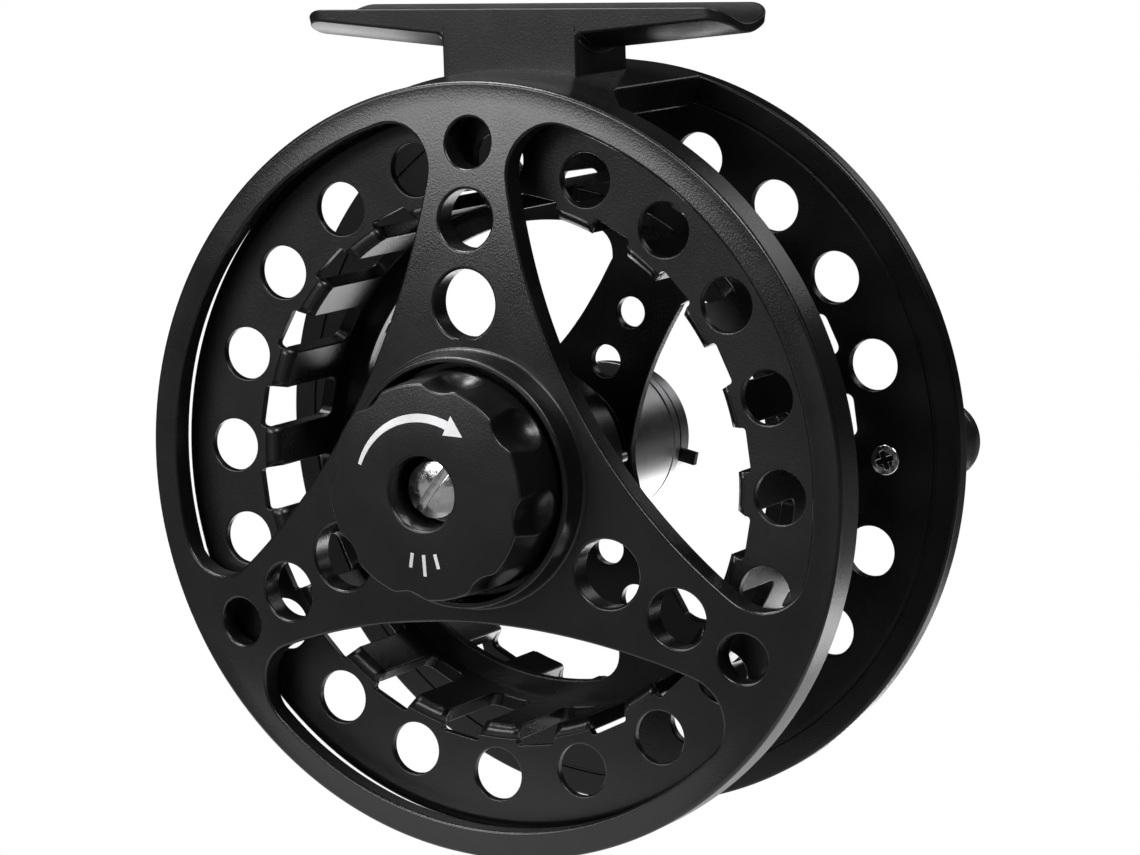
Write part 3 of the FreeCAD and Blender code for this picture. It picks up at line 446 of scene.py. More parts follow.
def bumped(tree, surface, height, strength, distance=0.0001):
    bump = tree.nodes.new("ShaderNodeBump")
    bump.inputs["Strength"].default_value = strength
    bump.inputs["Distance"].default_value = distance
    tree.links.new(height, bump.inputs["Height"])
    tree.links.new(bump.outputs["Normal"], surface.inputs["Normal"])


def anodised(name, shade, roughness, grain=4200.0, strength=0.22):
    """Bead-blasted aluminium under a black anodised skin: fine even grain and faint mottling."""
    material, tree, surface = shader(name, (shade,) * 3, roughness)
    fine = noise(tree, grain, 2.0)
    broad = noise(tree, 160.0, 4.0)
    tint = mixed_colour(tree, broad, (shade * 0.85,) * 3, (shade * 1.15, shade * 1.15, shade * 1.18))
    tree.links.new(tint, surface.inputs["Base Color"])
    tree.links.new(spread_value(tree, broad, roughness - 0.02, roughness + 0.03), surface.inputs["Roughness"])
    bumped(tree, surface, fine, strength)
    return material


def turned_metal(name, colour, roughness, ringed=True):
    """Turned bright metal, with fine rings round the axis."""
    material, tree, surface = shader(name, colour, roughness, 1.0)
    stretch = (200.0, 9000.0, 200.0) if ringed else (1500.0, 1500.0, 1500.0)
    lines = noise(tree, 1.0, 3.0, stretch)
    darker = tuple(c * 0.82 for c in colour)
    tree.links.new(mixed_colour(tree, lines, darker, colour), surface.inputs["Base Color"])
    tree.links.new(spread_value(tree, lines, roughness - 0.06, roughness + 0.08), surface.inputs["Roughness"])
    bumped(tree, surface, lines, 0.12)
    return material


BLACK = anodised("black_anodised", 0.005, 0.27)
SPOOL_BLACK = anodised("spool_anodised", 0.004, 0.32)
# Painted shade: a darker copy of the spool's anodised black, with weaker reflections, for the far flange,
# arbor and spokes deep inside the spool, where shade falls.
INNER_PAINTED_SHADE_BLACK = anodised("inner_anodised_painted_shade", 0.002, 0.28)
INNER_PAINTED_SHADE_BLACK.node_tree.nodes["Principled BSDF"].inputs["Specular IOR Level"].default_value = 0.3
SATIN = anodised("black_satin", 0.005, 0.34)
KNOB_BLACK = anodised("knob_anodised", 0.005, 0.30)
LATCH_BLACK = anodised("latch_black", 0.006, 0.35)
GRIP = anodised("handle_grip", 0.012, 0.24, 3000.0)
FRICTION = anodised("friction", 0.03, 0.7, 2500.0, 0.3)
STEEL = turned_metal("steel", (0.55, 0.55, 0.56), 0.32)
SPRING = turned_metal("spring_steel", (0.42, 0.42, 0.43), 0.35, ringed=False)
BRIGHT = turned_metal("bright_screw", (0.86, 0.86, 0.87), 0.16, ringed=False)
BRUSHED = turned_metal("brushed_bright", (0.42, 0.42, 0.43), 0.34)
DARK_SCREW = turned_metal("dark_screw", (0.30, 0.30, 0.31), 0.38, ringed=False)
BRASS = turned_metal("brass", (0.72, 0.55, 0.27), 0.3)
MARKING = anodised("marking_fill", 0.72, 0.5, 5200.0, 0.05)

SLOT_LOOKS = {
    "black_anodised": BLACK, "black_satin": SATIN, "black_knob": KNOB_BLACK, "steel": STEEL,
    "spring_steel": SPRING, "bright_screw": BRIGHT, "dark_screw": DARK_SCREW, "brass": BRASS,
    "friction": FRICTION, "brushed_bright": BRUSHED, "handle_grip": GRIP, "black_latch": LATCH_BLACK,
}


def dress_cad_nodes():
    """Give every CAD node its finish, shown or not."""
    for row in frame["record"]["subparts"]:
        node = frame["nodes"][row["node"]]
        node.data.materials.clear()
        node.data.materials.append(SLOT_LOOKS[row["material_slot"]])


# ---- frame

RIM_RADIUS = 47.2
RIM_BORE = 45.2
PLATE = 2.6
FACE_RISE = 3.6
FACE_OUTER = 46.2
COLLAR = 15.6
COLLAR_LIP = 15.0
COLLAR_HEIGHT = 6.8
RECESS = 14.4
RECESS_FLOOR = 3.0
HUB = 12.5
HUB_DEPTH = 4.0
FACE_CURVE = 200.0
SPINDLE_BORE = 3.1
SPOKE_HOLES = ((39.9, 3.0), (30.9, 3.6), (20.95, 4.15))
BRIDGE_RADIUS = 47.8
BRIDGE_INNER = 43.9
BRIDGE_LOW = 46.95
BRIDGE_SWELL = 0.9
BRIDGE_EASE = 3.5, 6.0


def arc_depth(radius_a, depth_a, radius_b, depth_b, curve):
    """The depth of an arc that bulges towards the viewer between two (radius, depth) points."""
    span = np.array([radius_b - radius_a, depth_b - depth_a])
    chord = np.linalg.norm(span)
    middle = np.array([radius_a + radius_b, depth_a + depth_b]) / 2
    normal = np.array([-span[1], span[0]]) / chord
    if normal[1] < 0:
        normal = -normal
    centre = middle + normal * math.sqrt(curve ** 2 - chord ** 2 / 4)
    return lambda r: centre[1] - np.sqrt(curve ** 2 - (np.clip(r, 0, curve) - centre[0]) ** 2)


face_depth = arc_depth(COLLAR, -FACE_RISE, FACE_OUTER, 0.0, FACE_CURVE)


def back_depth(radius):
    return PLATE - FACE_RISE + (radius - HUB) * FACE_RISE / (RIM_BORE - HUB)


def frame_window():
    """One window, at the bottom: an arc along the rim, a long arc past the hub and two rounded ends."""
    rim, curve, corner, inset = 43.7, 80.0, 5.6, 17.5
    drop = inset + curve
    reach, inner = rim - corner, curve - corner
    end_y = -(reach ** 2 - inner ** 2 + drop ** 2) / (2 * drop)
    end_x = math.sqrt(reach ** 2 - end_y ** 2)
    rim_turn = math.degrees(math.atan2(end_y, end_x))
    low_turn = math.degrees(math.atan2(end_y + drop, end_x))
    return joined(
        arc((0, 0), rim, -180 - rim_turn, rim_turn),
        arc((end_x, end_y), corner, rim_turn, low_turn, 0.35),
        arc((0, -drop), curve, low_turn, 180 - low_turn),
        arc((-end_x, end_y), corner, 180 - low_turn, 180 - rim_turn, 0.35),
    )


def clockwise(path):
    return path if area(path) < 0 else path[::-1]


def anticlockwise(path):
    return path if area(path) > 0 else path[::-1]


def frame_plate():
    rim_profile = turned_profile([
        (FACE_OUTER - 1.6, face_depth(FACE_OUTER - 1.6), 0),
        (FACE_OUTER - 0.3, face_depth(FACE_OUTER - 0.3), 0),
        (RIM_RADIUS, 0.0, 0.5),
        (RIM_RADIUS, RIM_DEPTH, 0.35),
        (RIM_BORE, RIM_DEPTH, 0.3),
        (RIM_BORE, back_depth(RIM_BORE), 0.4),
        (RIM_BORE - 1.0, back_depth(RIM_BORE - 1.0), 0),
    ])
    hub_profile = turned_profile([
        (COLLAR + 1.2, face_depth(COLLAR + 1.2), 0),
        (COLLAR, face_depth(COLLAR), 0.35),
        (COLLAR_LIP + 0.1, -COLLAR_HEIGHT + 0.05, 0.3),
        (RECESS, -COLLAR_HEIGHT, 0.15),
        (RECESS, -RECESS_FLOOR, 0.4),
        (SPINDLE_BORE, -RECESS_FLOOR, 0.2),
        (SPINDLE_BORE, HUB_DEPTH, 0.2),
        (HUB, HUB_DEPTH, 0.4),
        (HUB, back_depth(HUB), 0.4),
        (HUB + 1.0, back_depth(HUB + 1.0), 0),
    ], facing=-1)
    rim_profile[0] = (None, *rim_profile[0][1:3], *surface_tilt(rim_profile[0][1]))
    hub_profile[0] = (None, *hub_profile[0][1:3], *surface_tilt(hub_profile[0][1]))
    loops = [(circle((0, 0), FACE_OUTER, 360), rim_profile),
             (circle((0, 0), COLLAR, 200)[::-1], hub_profile)]
    window = clockwise(frame_window())
    for place in range(3):
        loops.append((turned(window, 120 * place), edge_profile(0.38, 0.3)))
        for reach, radius in SPOKE_HOLES:
            hole = turned(circle((0, reach), radius, 60), 120 * place)
            loops.append((clockwise(hole), edge_profile(0.38, 0.3)))
    return solid(loops, flat_skin(face_depth, back_depth), spacing=1.7)


def surface_tilt(radius):
    """The face's own normal at a radius, as (outwards, along)."""
    slope = float(face_depth(np.array(radius + 0.01)) - face_depth(np.array(radius))) / 0.01
    length = math.hypot(slope, 1)
    return slope / length, -1 / length


def frame_bridge():
    """The bridge: a wide curved bar behind the rim, which widens in a hollow curve where it meets it."""
    unroll, half, end = BRIDGE_RADIUS, 14.3, 33.0
    side = unroll * math.asin(half / unroll)
    flare, wide_flare = 5.0, 9.0
    top = unroll * math.pi / 2
    front, root = 3.2, 4.4
    corners = [
        (top - side - flare, front, 0.4), (top + side + wide_flare, front, 0.4),
        (top + side + wide_flare - 0.6, root, 0.4), (top + side, root + flare - 0.6, 6.0),
        (top + side, end, 0.9), (top - side, end, 0.9),
        (top - side, root + flare - 0.6, 5.0), (top - side - flare + 0.6, root, 0.4),
    ]
    path, _ = rounded(corners, steps=8)
    path = denser(path, 1.2)

    def outer(depth):
        ease = np.clip((depth - BRIDGE_EASE[0]) / BRIDGE_EASE[1], 0, 1)
        return BRIDGE_LOW + BRIDGE_SWELL * ease * ease * (3 - 2 * ease)
    return solid([(path, edge_profile(0.4, 0.4))], round_skin(BRIDGE_INNER, outer, unroll), spacing=1.6)


def denser(path, step):
    """The path with its long straight runs divided."""
    points = []
    for a, b in zip(path, np.roll(path, -1, 0)):
        parts = max(1, math.ceil(np.linalg.norm(b - a) / step))
        points += [a + (b - a) * k / parts for k in range(parts)]
    return np.array(points)


# ---- foot

FOOT_MIDDLE = 16.7
FOOT_HEIGHT = 55.25
FOOT_ACROSS = -0.35
FOOT_HALF = 29.2
FOOT_HALF_WIDTH = 6.5
FOOT_SAG = 2.2
STEM_HALF = 9.2
STEM_SUNK = 1.6
ARM_ROOT, ARM_TIP = 3.1, 1.25


def foot_sag(depth):
    """How far the foot dips below its two long edges, as a trough that takes a rod."""
    return FOOT_SAG * (1 - ((depth - FOOT_MIDDLE) / FOOT_HALF_WIDTH) ** 2)


def level_ways(count):
    """The directions across and along, for a face seen from above."""
    return np.tile([1.0, 0, 0], (count, 1)), np.tile([0, 1.0, 0], (count, 1))


def foot_skin():
    """The foot's top and its underside, which tapers to both tips; a point is (across, depth)."""
    fall = (ARM_ROOT - ARM_TIP) / (FOOT_HALF - STEM_HALF)

    def skin(points, side):
        count = len(points)
        reach = np.abs(points[:, 0] - FOOT_ACROSS)
        height = FOOT_HEIGHT - foot_sag(points[:, 1])
        facing = 1 if side == 0 else -1
        normal = np.zeros((count, 3))
        normal[:, 1] = -facing * 2 * FOOT_SAG * (points[:, 1] - FOOT_MIDDLE) / FOOT_HALF_WIDTH ** 2
        normal[:, 2] = facing
        if side == 1:
            height = height - ARM_ROOT + fall * np.clip(reach - STEM_HALF, 0, FOOT_HALF - STEM_HALF)
            slope = np.where((reach > STEM_HALF) & (reach < FOOT_HALF), fall, 0)
            normal[:, 0] = slope * np.sign(points[:, 0] - FOOT_ACROSS)
        place = np.stack([points[:, 0], points[:, 1], height], 1)
        normal /= np.linalg.norm(normal, axis=1)[:, None]
        return place, *level_ways(count), normal
    return skin


def foot_arms():
    corner = 3.0
    low, high = FOOT_MIDDLE - FOOT_HALF_WIDTH, FOOT_MIDDLE + FOOT_HALF_WIDTH
    left, right = FOOT_ACROSS - FOOT_HALF, FOOT_ACROSS + FOOT_HALF
    path, _ = rounded([(left, low, corner), (right, low, corner),
                       (right, high, corner), (left, high, corner)], steps=14)
    return solid([(denser(anticlockwise(path), 0.8), edge_profile(0.32, 0.25))], foot_skin(), spacing=1.2)


def stem_skin():
    """The stem runs up from the bridge's curved top into the foot; a point is (across, depth)."""
    def skin(points, side):
        count = len(points)
        base = np.sqrt(BRIDGE_RADIUS ** 2 - points[:, 0] ** 2) - STEM_SUNK
        height = FOOT_HEIGHT - foot_sag(points[:, 1]) - 1.0 if side == 0 else base
        place = np.stack([points[:, 0], points[:, 1], height], 1)
        normal = np.zeros((count, 3))
        normal[:, 2] = 1 if side == 0 else -1
        return place, *level_ways(count), normal
    return skin


def foot_stem():
    half_width = FOOT_HALF_WIDTH - 0.02
    low, high = FOOT_MIDDLE - half_width, FOOT_MIDDLE + half_width
    left, right = FOOT_ACROSS - STEM_HALF, FOOT_ACROSS + STEM_HALF
    path, _ = rounded([(left, low, 0.25), (right, low, 0.25), (right, high, 0.25), (left, high, 0.25)])
    return solid([(denser(anticlockwise(path), 1.0), edge_profile(0.1, 0.1))], stem_skin(), spacing=1.6)


def stem_fillets():
    """Small hollow curves between the stem's ends and the underside of the arms."""
    radius = 0.8
    depths = np.linspace(FOOT_MIDDLE - FOOT_HALF_WIDTH + 0.05, FOOT_MIDDLE + FOOT_HALF_WIDTH - 0.05, 13)
    parts = []
    for sign in (-1, 1):
        corner = np.array([FOOT_ACROSS + STEM_HALF * sign, FOOT_HEIGHT - ARM_ROOT])
        curve = [corner + np.array([sign * radius * (1 - math.sin(t)), -radius * (1 - math.cos(t))])
                 for t in np.linspace(0, math.pi / 2, 7)]
        inner = [corner + np.array([-sign * 0.5, 0.4])]
        section = clockwise(np.array(curve + inner))
        places = [(p[0], depth, p[1] - foot_sag(depth)) for depth in depths for p in section]
        parts.append(swept(places, len(section)))
    return merged(*parts)


# ---- spool

HOLES = 20
HOLE_START = -2.25
HOLE_REACH = 37.6
ARBOR_IN = 31.6
ARBOR_OUT = 33.4
SLOT_REACH = 33.8
SLOT_HALF = 2.6
NEAR_FRONT, NEAR_BACK = 3.7, 6.0
NEAR_PLATE = 4.8
FAR_FRONT, FAR_BACK = 33.6, 36.1
FAR_PLATE = 34.9
NEAR_RADIUS, FAR_RADIUS = 45.0, 47.5
FRONT_SLOT, REAR_SLOT, SLOT_CORNER = 17.0, 23.5, 1.2
BEVEL_OUT = 33.1
BEVEL_END = 5.3


def notched_ring(corner, root, bore=ARBOR_IN):
    """The flange's inner edge: twenty ribs on the arbor's bore with a milled notch between each pair."""
    corners = []
    step = 360.0 / HOLES
    edge = math.sqrt(bore ** 2 - SLOT_HALF ** 2)
    for place in range(HOLES):
        turn = HOLE_START + step * (place + 0.5)
        local = [(edge, -SLOT_HALF, corner), (SLOT_REACH, -SLOT_HALF, root),
                 (SLOT_REACH, SLOT_HALF, root), (edge, SLOT_HALF, corner)]
        for x, y, radius in local:
            spun = turned([(x, y)], turn)[0]
            corners.append((spun[0], spun[1], radius))
        for share in (0.35, 0.5, 0.65):
            angle = math.radians(turn + step * share)
            corners.append((bore * math.cos(angle), bore * math.sin(angle), 0))
    return clockwise(rounded(corners, steps=4)[0])


def flange_holes(radius, places, profile):
    step = 360.0 / HOLES
    return [(clockwise(turned(circle((HOLE_REACH, 0), radius, 48), HOLE_START + step * place)), profile)
            for place in places]


def near_flange():
    rim = turned_profile([
        (42.6, NEAR_FRONT, 0), (NEAR_RADIUS, NEAR_FRONT, 1.9), (NEAR_RADIUS, NEAR_BACK, 0.25),
        (43.4, NEAR_BACK, 0.25), (43.2, NEAR_PLATE, 0.15), (42.6, NEAR_PLATE, 0)])
    loops = [(circle((0, 0), NEAR_RADIUS, 300), rim),
             (notched_ring(0.15, 0.45, BEVEL_OUT - 0.05), edge_profile(0.12, 0.12))]
    loops += flange_holes(3.25, range(HOLES), edge_profile(0.22, 0.2))
    return solid(loops, flat_skin(lambda r: NEAR_FRONT + 0 * r, lambda r: NEAR_PLATE + 0 * r), spacing=2.2)


def rib_bevels():
    """The sloping front of each of the arbor's ribs, from the flange's face in to the bore."""
    section = [(BEVEL_OUT, NEAR_FRONT + 0.05), (ARBOR_IN, BEVEL_END - 0.1), (ARBOR_IN, BEVEL_END),
               (BEVEL_OUT, BEVEL_END)]
    step = 360.0 / HOLES
    stations = np.linspace(-1, 1, 7)
    parts = []
    for place in range(HOLES):
        places = []
        for share in stations:
            for radius, depth in section:
                half = math.radians(step / 2) - math.asin((SLOT_HALF + 0.05) / radius)
                angle = math.radians(HOLE_START + step * place) + share * half
                places.append((radius * math.cos(angle), depth, radius * math.sin(angle)))
        parts.append(swept(places, len(section)))
    return merged(*parts)


def far_flange():
    rim = turned_profile([
        (43.0, FAR_FRONT, 0),
        (43.95, FAR_FRONT, 0.06), (44.05, FAR_FRONT + 0.22, 0.06),
        (44.35, FAR_FRONT + 0.22, 0.06), (44.45, FAR_FRONT, 0.06),
        (FAR_RADIUS, FAR_FRONT, 0.45), (FAR_RADIUS, FAR_BACK, 0.45), (44.2, FAR_BACK, 0.3),
        (43.8, FAR_PLATE, 0.2), (43.0, FAR_PLATE, 0)])
    loops = [(circle((0, 0), FAR_RADIUS, 300), rim), (notched_ring(0.7, 0.9), edge_profile(0.3, 0.3))]
    loops += flange_holes(3.2, range(1, HOLES), edge_profile(0.22, 0.2))
    return solid(loops, flat_skin(lambda r: FAR_FRONT + 0 * r, lambda r: FAR_PLATE + 0 * r), spacing=2.2)


UNROLL = 32.5


def rib_edge(inner_end, outer_end, corner):
    """One edge of the arbor, unrolled: ribs to one depth and slots to another."""
    step = TURN * UNROLL / HOLES
    start = math.radians(HOLE_START) * UNROLL
    half = SLOT_HALF + 0.05
    corners = []
    for place in range(HOLES):
        middle = start + step * (place + 0.5)
        corners += [(middle - half, outer_end, 0.25), (middle - half, inner_end, corner),
                    (middle + half, inner_end, corner), (middle + half, outer_end, 0.25)]
    padded = [(corners[-1][0] - TURN * UNROLL, *corners[-1][1:])] + corners
    padded.append((corners[0][0] + TURN * UNROLL, *corners[0][1:]))
    points, _ = rounded(padded, closed=False, steps=4)
    return points[1:-1]


def split_runs(path, step, wrap):
    """Divide the long runs of a path that goes once round the unrolled arbor."""
    points = []
    ahead = np.roll(path, -1, 0) - path
    ahead[:, 0] = (ahead[:, 0] + wrap / 2) % wrap - wrap / 2
    for a, way in zip(path, ahead):
        parts = max(1, math.ceil(np.linalg.norm(way) / step))
        points += [a + way * k / parts for k in range(parts)]
    return np.array(points)


def arbor():
    """The arbor's wall, slotted from both ends."""
    wrap = TURN * UNROLL
    front = split_runs(rib_edge(FRONT_SLOT, BEVEL_END - 0.05, SLOT_CORNER), 1.0, wrap)
    rear = split_runs(rib_edge(REAR_SLOT, FAR_PLATE - 0.3, SLOT_CORNER), 1.0, wrap)[::-1]

    def chart(p):
        reach = 60.0 - p[:, 1]
        return np.stack([reach * np.cos(p[:, 0] / UNROLL), reach * np.sin(p[:, 0] / UNROLL)], 1)
    profile = edge_profile(0.2, 0.2, steps=4)
    return solid([(front, profile), (rear, profile)], round_skin(ARBOR_IN + 0.04, ARBOR_OUT, UNROLL),
                 chart=chart, wrap=wrap)


def web_opening():
    """One of the web's three openings, between two waisted spokes."""
    outer, hub, spoke = 28.8, 10.1, 60.0
    run = ((outer, 5.9), (26.0, 5.4), (22.0, 5.35), (18.0, 5.55), (15.0, 6.0), (12.3, 6.8), (10.7, 7.7))
    low, high = [], []
    for reach, half in run:
        angle = math.radians(spoke) - math.asin(half / reach)
        corner = 3.2 if reach == outer else 0
        low.append((reach * math.cos(angle), -reach * math.sin(angle), corner))
        high.append((reach * math.cos(angle), reach * math.sin(angle), corner))
    near_hub = [(hub * math.cos(a), hub * math.sin(a), 0) for a in np.radians((-6, 0, 6))]
    far_round = [(outer * math.cos(a), outer * math.sin(a), 0) for a in np.radians(np.linspace(40, -40, 33))]
    path, _ = rounded(low + near_hub + high[::-1] + far_round, steps=8)
    return clockwise(smoothed(denser(path, 0.7), 3))


def smoothed(path, rounds):
    for _ in range(rounds):
        path = path * 0.5 + (np.roll(path, 1, 0) + np.roll(path, -1, 0)) * 0.25
    return path


WEB_TURN = 59.2
WEB_FRONT, WEB_BACK = 19.0, 20.4
WEB_EDGE, WEB_RADIUS = 30.6, 31.8
WEB_HOLES = ((20.6, 1.9), (13.5, 2.0))
BOSS = 9.4
BOSS_FRONT = 14.0


def spool_web():
    outer = turned_profile([(WEB_EDGE, WEB_FRONT, 0), (WEB_RADIUS, WEB_FRONT, 0.2),
                            (WEB_RADIUS, WEB_BACK, 0.2), (WEB_EDGE, WEB_BACK, 0)])
    boss = turned_profile([
        (BOSS + 0.3, WEB_FRONT, 0), (BOSS, WEB_FRONT, 0.15), (BOSS, BOSS_FRONT, 0.5), (8.0, BOSS_FRONT, 0.3),
        (8.0, WEB_BACK + 0.2, 0.05), (BOSS, WEB_BACK + 0.2, 0.05), (BOSS, WEB_BACK, 0.05),
        (BOSS + 0.3, WEB_BACK, 0)], facing=-1)
    loops = [(circle((0, 0), WEB_RADIUS, 240), outer), (circle((0, 0), BOSS, 120)[::-1], boss)]
    opening = web_opening()
    for place in range(3):
        turn = WEB_TURN + 120 * place
        loops.append((turned(opening, turn + 60), edge_profile(0.2, 0.2)))
        for reach, radius in WEB_HOLES:
            loops.append((clockwise(turned(circle((reach, 0), radius, 36), turn)), edge_profile(0.2, 0.2)))
    return solid(loops, flat_skin(lambda r: WEB_FRONT + 0 * r, lambda r: WEB_BACK + 0 * r), spacing=2.0)


def hub_sleeve():
    return lathe([
        (6.5, 14.1, 0.2), (7.95, 14.1, 0.2), (7.95, 20.65, 0.05), (9.6, 20.65, 0.15), (9.6, 31.5, 0.06),
        (9.42, 31.58, 0.05), (9.42, 31.85, 0.05), (9.6, 31.93, 0.06), (9.6, 33.5, 0.25), (6.5, 33.5, 0.2),
    ][::-1])


# ---- drag knob

KNOB_TOP = 14.9
KNOB_RADIUS = 12.9
KNOB_BASE = 13.4
KNOB_BOTTOM = 3.3
SCALLOPS = 8
SCALLOP_RADIUS = 3.6
SCALLOP_REACH = 15.1
SCALLOP_LEAN = 0.09
SCALLOP_LOW = 6.2
SCALLOP_START = 34.5
KNOB_EDGE = 0.35
KNOB_BORE = 4.35
KNOB_HOLLOW = 8.0
KNOB_CROWN = 105.0


def smooth_least(a, b, blend):
    """The lesser of two values, eased where they are close."""
    h = np.clip(0.5 + 0.5 * (b - a) / blend, 0, 1)
    return b * (1 - h) + a * h - blend * h * (1 - h)


def knob_radius(angle, height):
    """How far the knob reaches at an angle and a height, scallops and rounded edges included."""
    taper = np.clip((height - SCALLOP_LOW) / (KNOB_TOP - SCALLOP_LOW), 0, 1)
    side = KNOB_BASE + (KNOB_RADIUS - KNOB_BASE) * taper
    step = TURN / SCALLOPS
    off = (angle - math.radians(SCALLOP_START) + step / 2) % step - step / 2
    below = np.clip(SCALLOP_LOW + SCALLOP_RADIUS - height, 0, None)
    cut = np.sqrt(np.clip(SCALLOP_RADIUS ** 2 - below ** 2, 0, None))
    centre = SCALLOP_REACH + SCALLOP_LEAN * np.clip(height - SCALLOP_LOW - 1, 0, None)
    sideways = centre * np.sin(off)
    chord = np.sqrt(np.clip(cut ** 2 - sideways ** 2, 0, None))
    wall = centre * np.cos(off) - chord
    beyond = np.clip(np.abs(sideways) - cut, 0, None)
    wall = np.where(chord > 0, wall, centre * np.cos(off) + 2.5 * np.sqrt(beyond))
    reach = smooth_least(side, wall, 0.5)
    top = np.clip((height - (KNOB_TOP - KNOB_EDGE)) / KNOB_EDGE, 0, 1)
    low = np.clip((KNOB_BOTTOM + 0.3 - height) / 0.3, 0, 1)
    return reach - KNOB_EDGE * (1 - np.sqrt(1 - top ** 2)) - 0.3 * (1 - np.sqrt(1 - low ** 2))


def crown_drop(radius):
    """How far the knob's slightly crowned face lies below its middle."""
    return KNOB_CROWN - np.sqrt(KNOB_CROWN ** 2 - np.square(radius))


def drag_knob():
    count = 640
    angles = TURN * np.arange(count) / count
    heights = list(KNOB_BOTTOM + 0.3 * (1 - np.cos(np.linspace(0, math.pi / 2, 4))))
    heights += list(np.linspace(KNOB_BOTTOM + 0.3, KNOB_TOP - KNOB_EDGE, 46)[1:])
    heights += list(KNOB_TOP - KNOB_EDGE + KNOB_EDGE * np.sin(np.linspace(0, math.pi / 2, 8)[1:]))
    c, s = np.cos(angles), np.sin(angles)
    places, rings = [], []

    def ring(radius, height):
        rings.append(np.arange(len(rings) * count, (len(rings) + 1) * count))
        places.append(np.stack([radius * c, -height * np.ones(count), radius * s], 1))
    edge = knob_radius(angles, np.full(count, KNOB_TOP))
    fall = crown_drop(edge)
    for height in heights:
        lift = np.clip((height - KNOB_BOTTOM) / (KNOB_TOP - KNOB_BOTTOM), 0, 1)
        ring(knob_radius(angles, np.full(count, height)), height - fall * lift)
    for share in (0.03, 0.2, 0.45, 0.7, 1.0):
        radius = edge * (1 - share) + KNOB_HOLLOW * share
        ring(radius, KNOB_TOP - crown_drop(radius))
    rim = KNOB_TOP - float(crown_drop(KNOB_BORE))
    bore, _ = rounded([
        (KNOB_HOLLOW, KNOB_TOP - float(crown_drop(KNOB_HOLLOW)), 0), (KNOB_BORE, rim, 0.4),
        (KNOB_BORE, 9.2, 0.3), (1.95, 9.2, 0.1), (1.95, 7.5, 0.1), (KNOB_HOLLOW, 7.5, 0.3),
        (KNOB_HOLLOW, KNOB_BOTTOM, 0.3), (12.6, KNOB_BOTTOM, 0)], closed=False)
    for radius, height in bore[1:]:
        ring(radius, height)
    faces = []
    for one, two in list(zip(rings, rings[1:])) + [(rings[-1], rings[0])]:
        faces += np.stack([one, np.roll(one, -1), np.roll(two, -1), two], 1).tolist()
    made = np.concatenate(places)
    return made, np.zeros_like(made), faces


def mark_skin(height):
    """A thin layer that follows the knob's crowned face."""
    return flat_skin(lambda r: crown_drop(r) - height, lambda r: crown_drop(r) - height + 0.06)


def ribbon(path, half_widths, height):
    """A flat stripe on the knob's face along an open path, with square ends and a low wall."""
    way = np.gradient(path, axis=0)
    way /= np.linalg.norm(way, axis=1)[:, None]
    side = np.stack([-way[:, 1], way[:, 0]], 1) * np.asarray(half_widths)[:, None]
    loop = np.concatenate([path - side, (path + side)[::-1]])
    loop = anticlockwise(loop)
    return solid([(loop, edge_profile(0.01, 0.01, 2))], mark_skin(height))


def knob_mark():
    """A generic turn mark: a tapering arc with an arrowhead above the screw, and three ticks below it."""
    height = KNOB_TOP + 0.02
    angles = np.radians(np.linspace(160, 66, 40))
    sweep = 8.9
    path = np.stack([sweep * np.cos(angles), sweep * np.sin(angles)], 1)
    widths = 0.18 + 0.34 * np.sin(np.linspace(0.12, 1, 40) * math.pi / 2)
    parts = [ribbon(path, widths, height)]
    tip = math.radians(50)
    base = math.radians(66)
    head = np.array([
        (sweep * math.cos(tip), sweep * math.sin(tip)),
        ((sweep + 1.25) * math.cos(base), (sweep + 1.25) * math.sin(base)),
        ((sweep - 1.25) * math.cos(base), (sweep - 1.25) * math.sin(base))])
    parts.append(solid([(anticlockwise(head), edge_profile(0.01, 0.01, 2))], mark_skin(height)))
    for turn, length in ((-102.0, 1.8), (-90.0, 2.6), (-78.0, 1.8)):
        run = np.linspace(7.3, 7.3 + length, 6)
        way = np.array([math.cos(math.radians(turn)), math.sin(math.radians(turn))])
        parts.append(ribbon(run[:, None] * way, np.full(6, 0.22), height))
    return merged(*parts)


SCREW_RADIUS = 3.5
SCREW_TOP, SCREW_BOTTOM = -12.3, -9.25
SCREW_DOME = 0.5
SLOT_WIDTH, SLOT_DEPTH, SLOT_TURN = 0.9, 0.8, 52
HANDLE_SCREW_RADIUS = 1.9
HANDLE_SCREW_PROUD, HANDLE_SCREW_SUNK = 0.3, 0.8


def slotted_head(centre, radius, top, bottom, slot, depth, turn, dome):
    """A screw head with a straight slot, as two halves and the floor between them."""
    parts = []
    half = slot / 2
    for sign in (-1, 1):
        start = math.degrees(math.asin(half / radius))
        run = arc((0, 0), radius, start, 180 - start, 0.25)
        run = run if sign > 0 else -run
        skin = flat_skin(lambda r: top + dome * (r / radius) ** 2, lambda r: top + depth + 0.2 + 0 * r)
        made = solid([(denser(anticlockwise(run), 0.4), edge_profile(0.14, 0.05, 4))], skin, spacing=0.45)
        parts.append(made)
    parts.append(lathe([(0, top + depth, 0), (radius - 0.05, top + depth, 0.05),
                        (radius - 0.05, bottom, 0.05), (0, bottom, 0)][::-1], count=96, closed=False))
    places, normals, faces = merged(*parts)
    c, s = math.cos(math.radians(turn)), math.sin(math.radians(turn))
    spin = np.array([[c, 0, s], [0, 1, 0], [-s, 0, c]])
    return places @ spin + np.array([centre[0], 0, centre[1]]), normals @ spin, faces


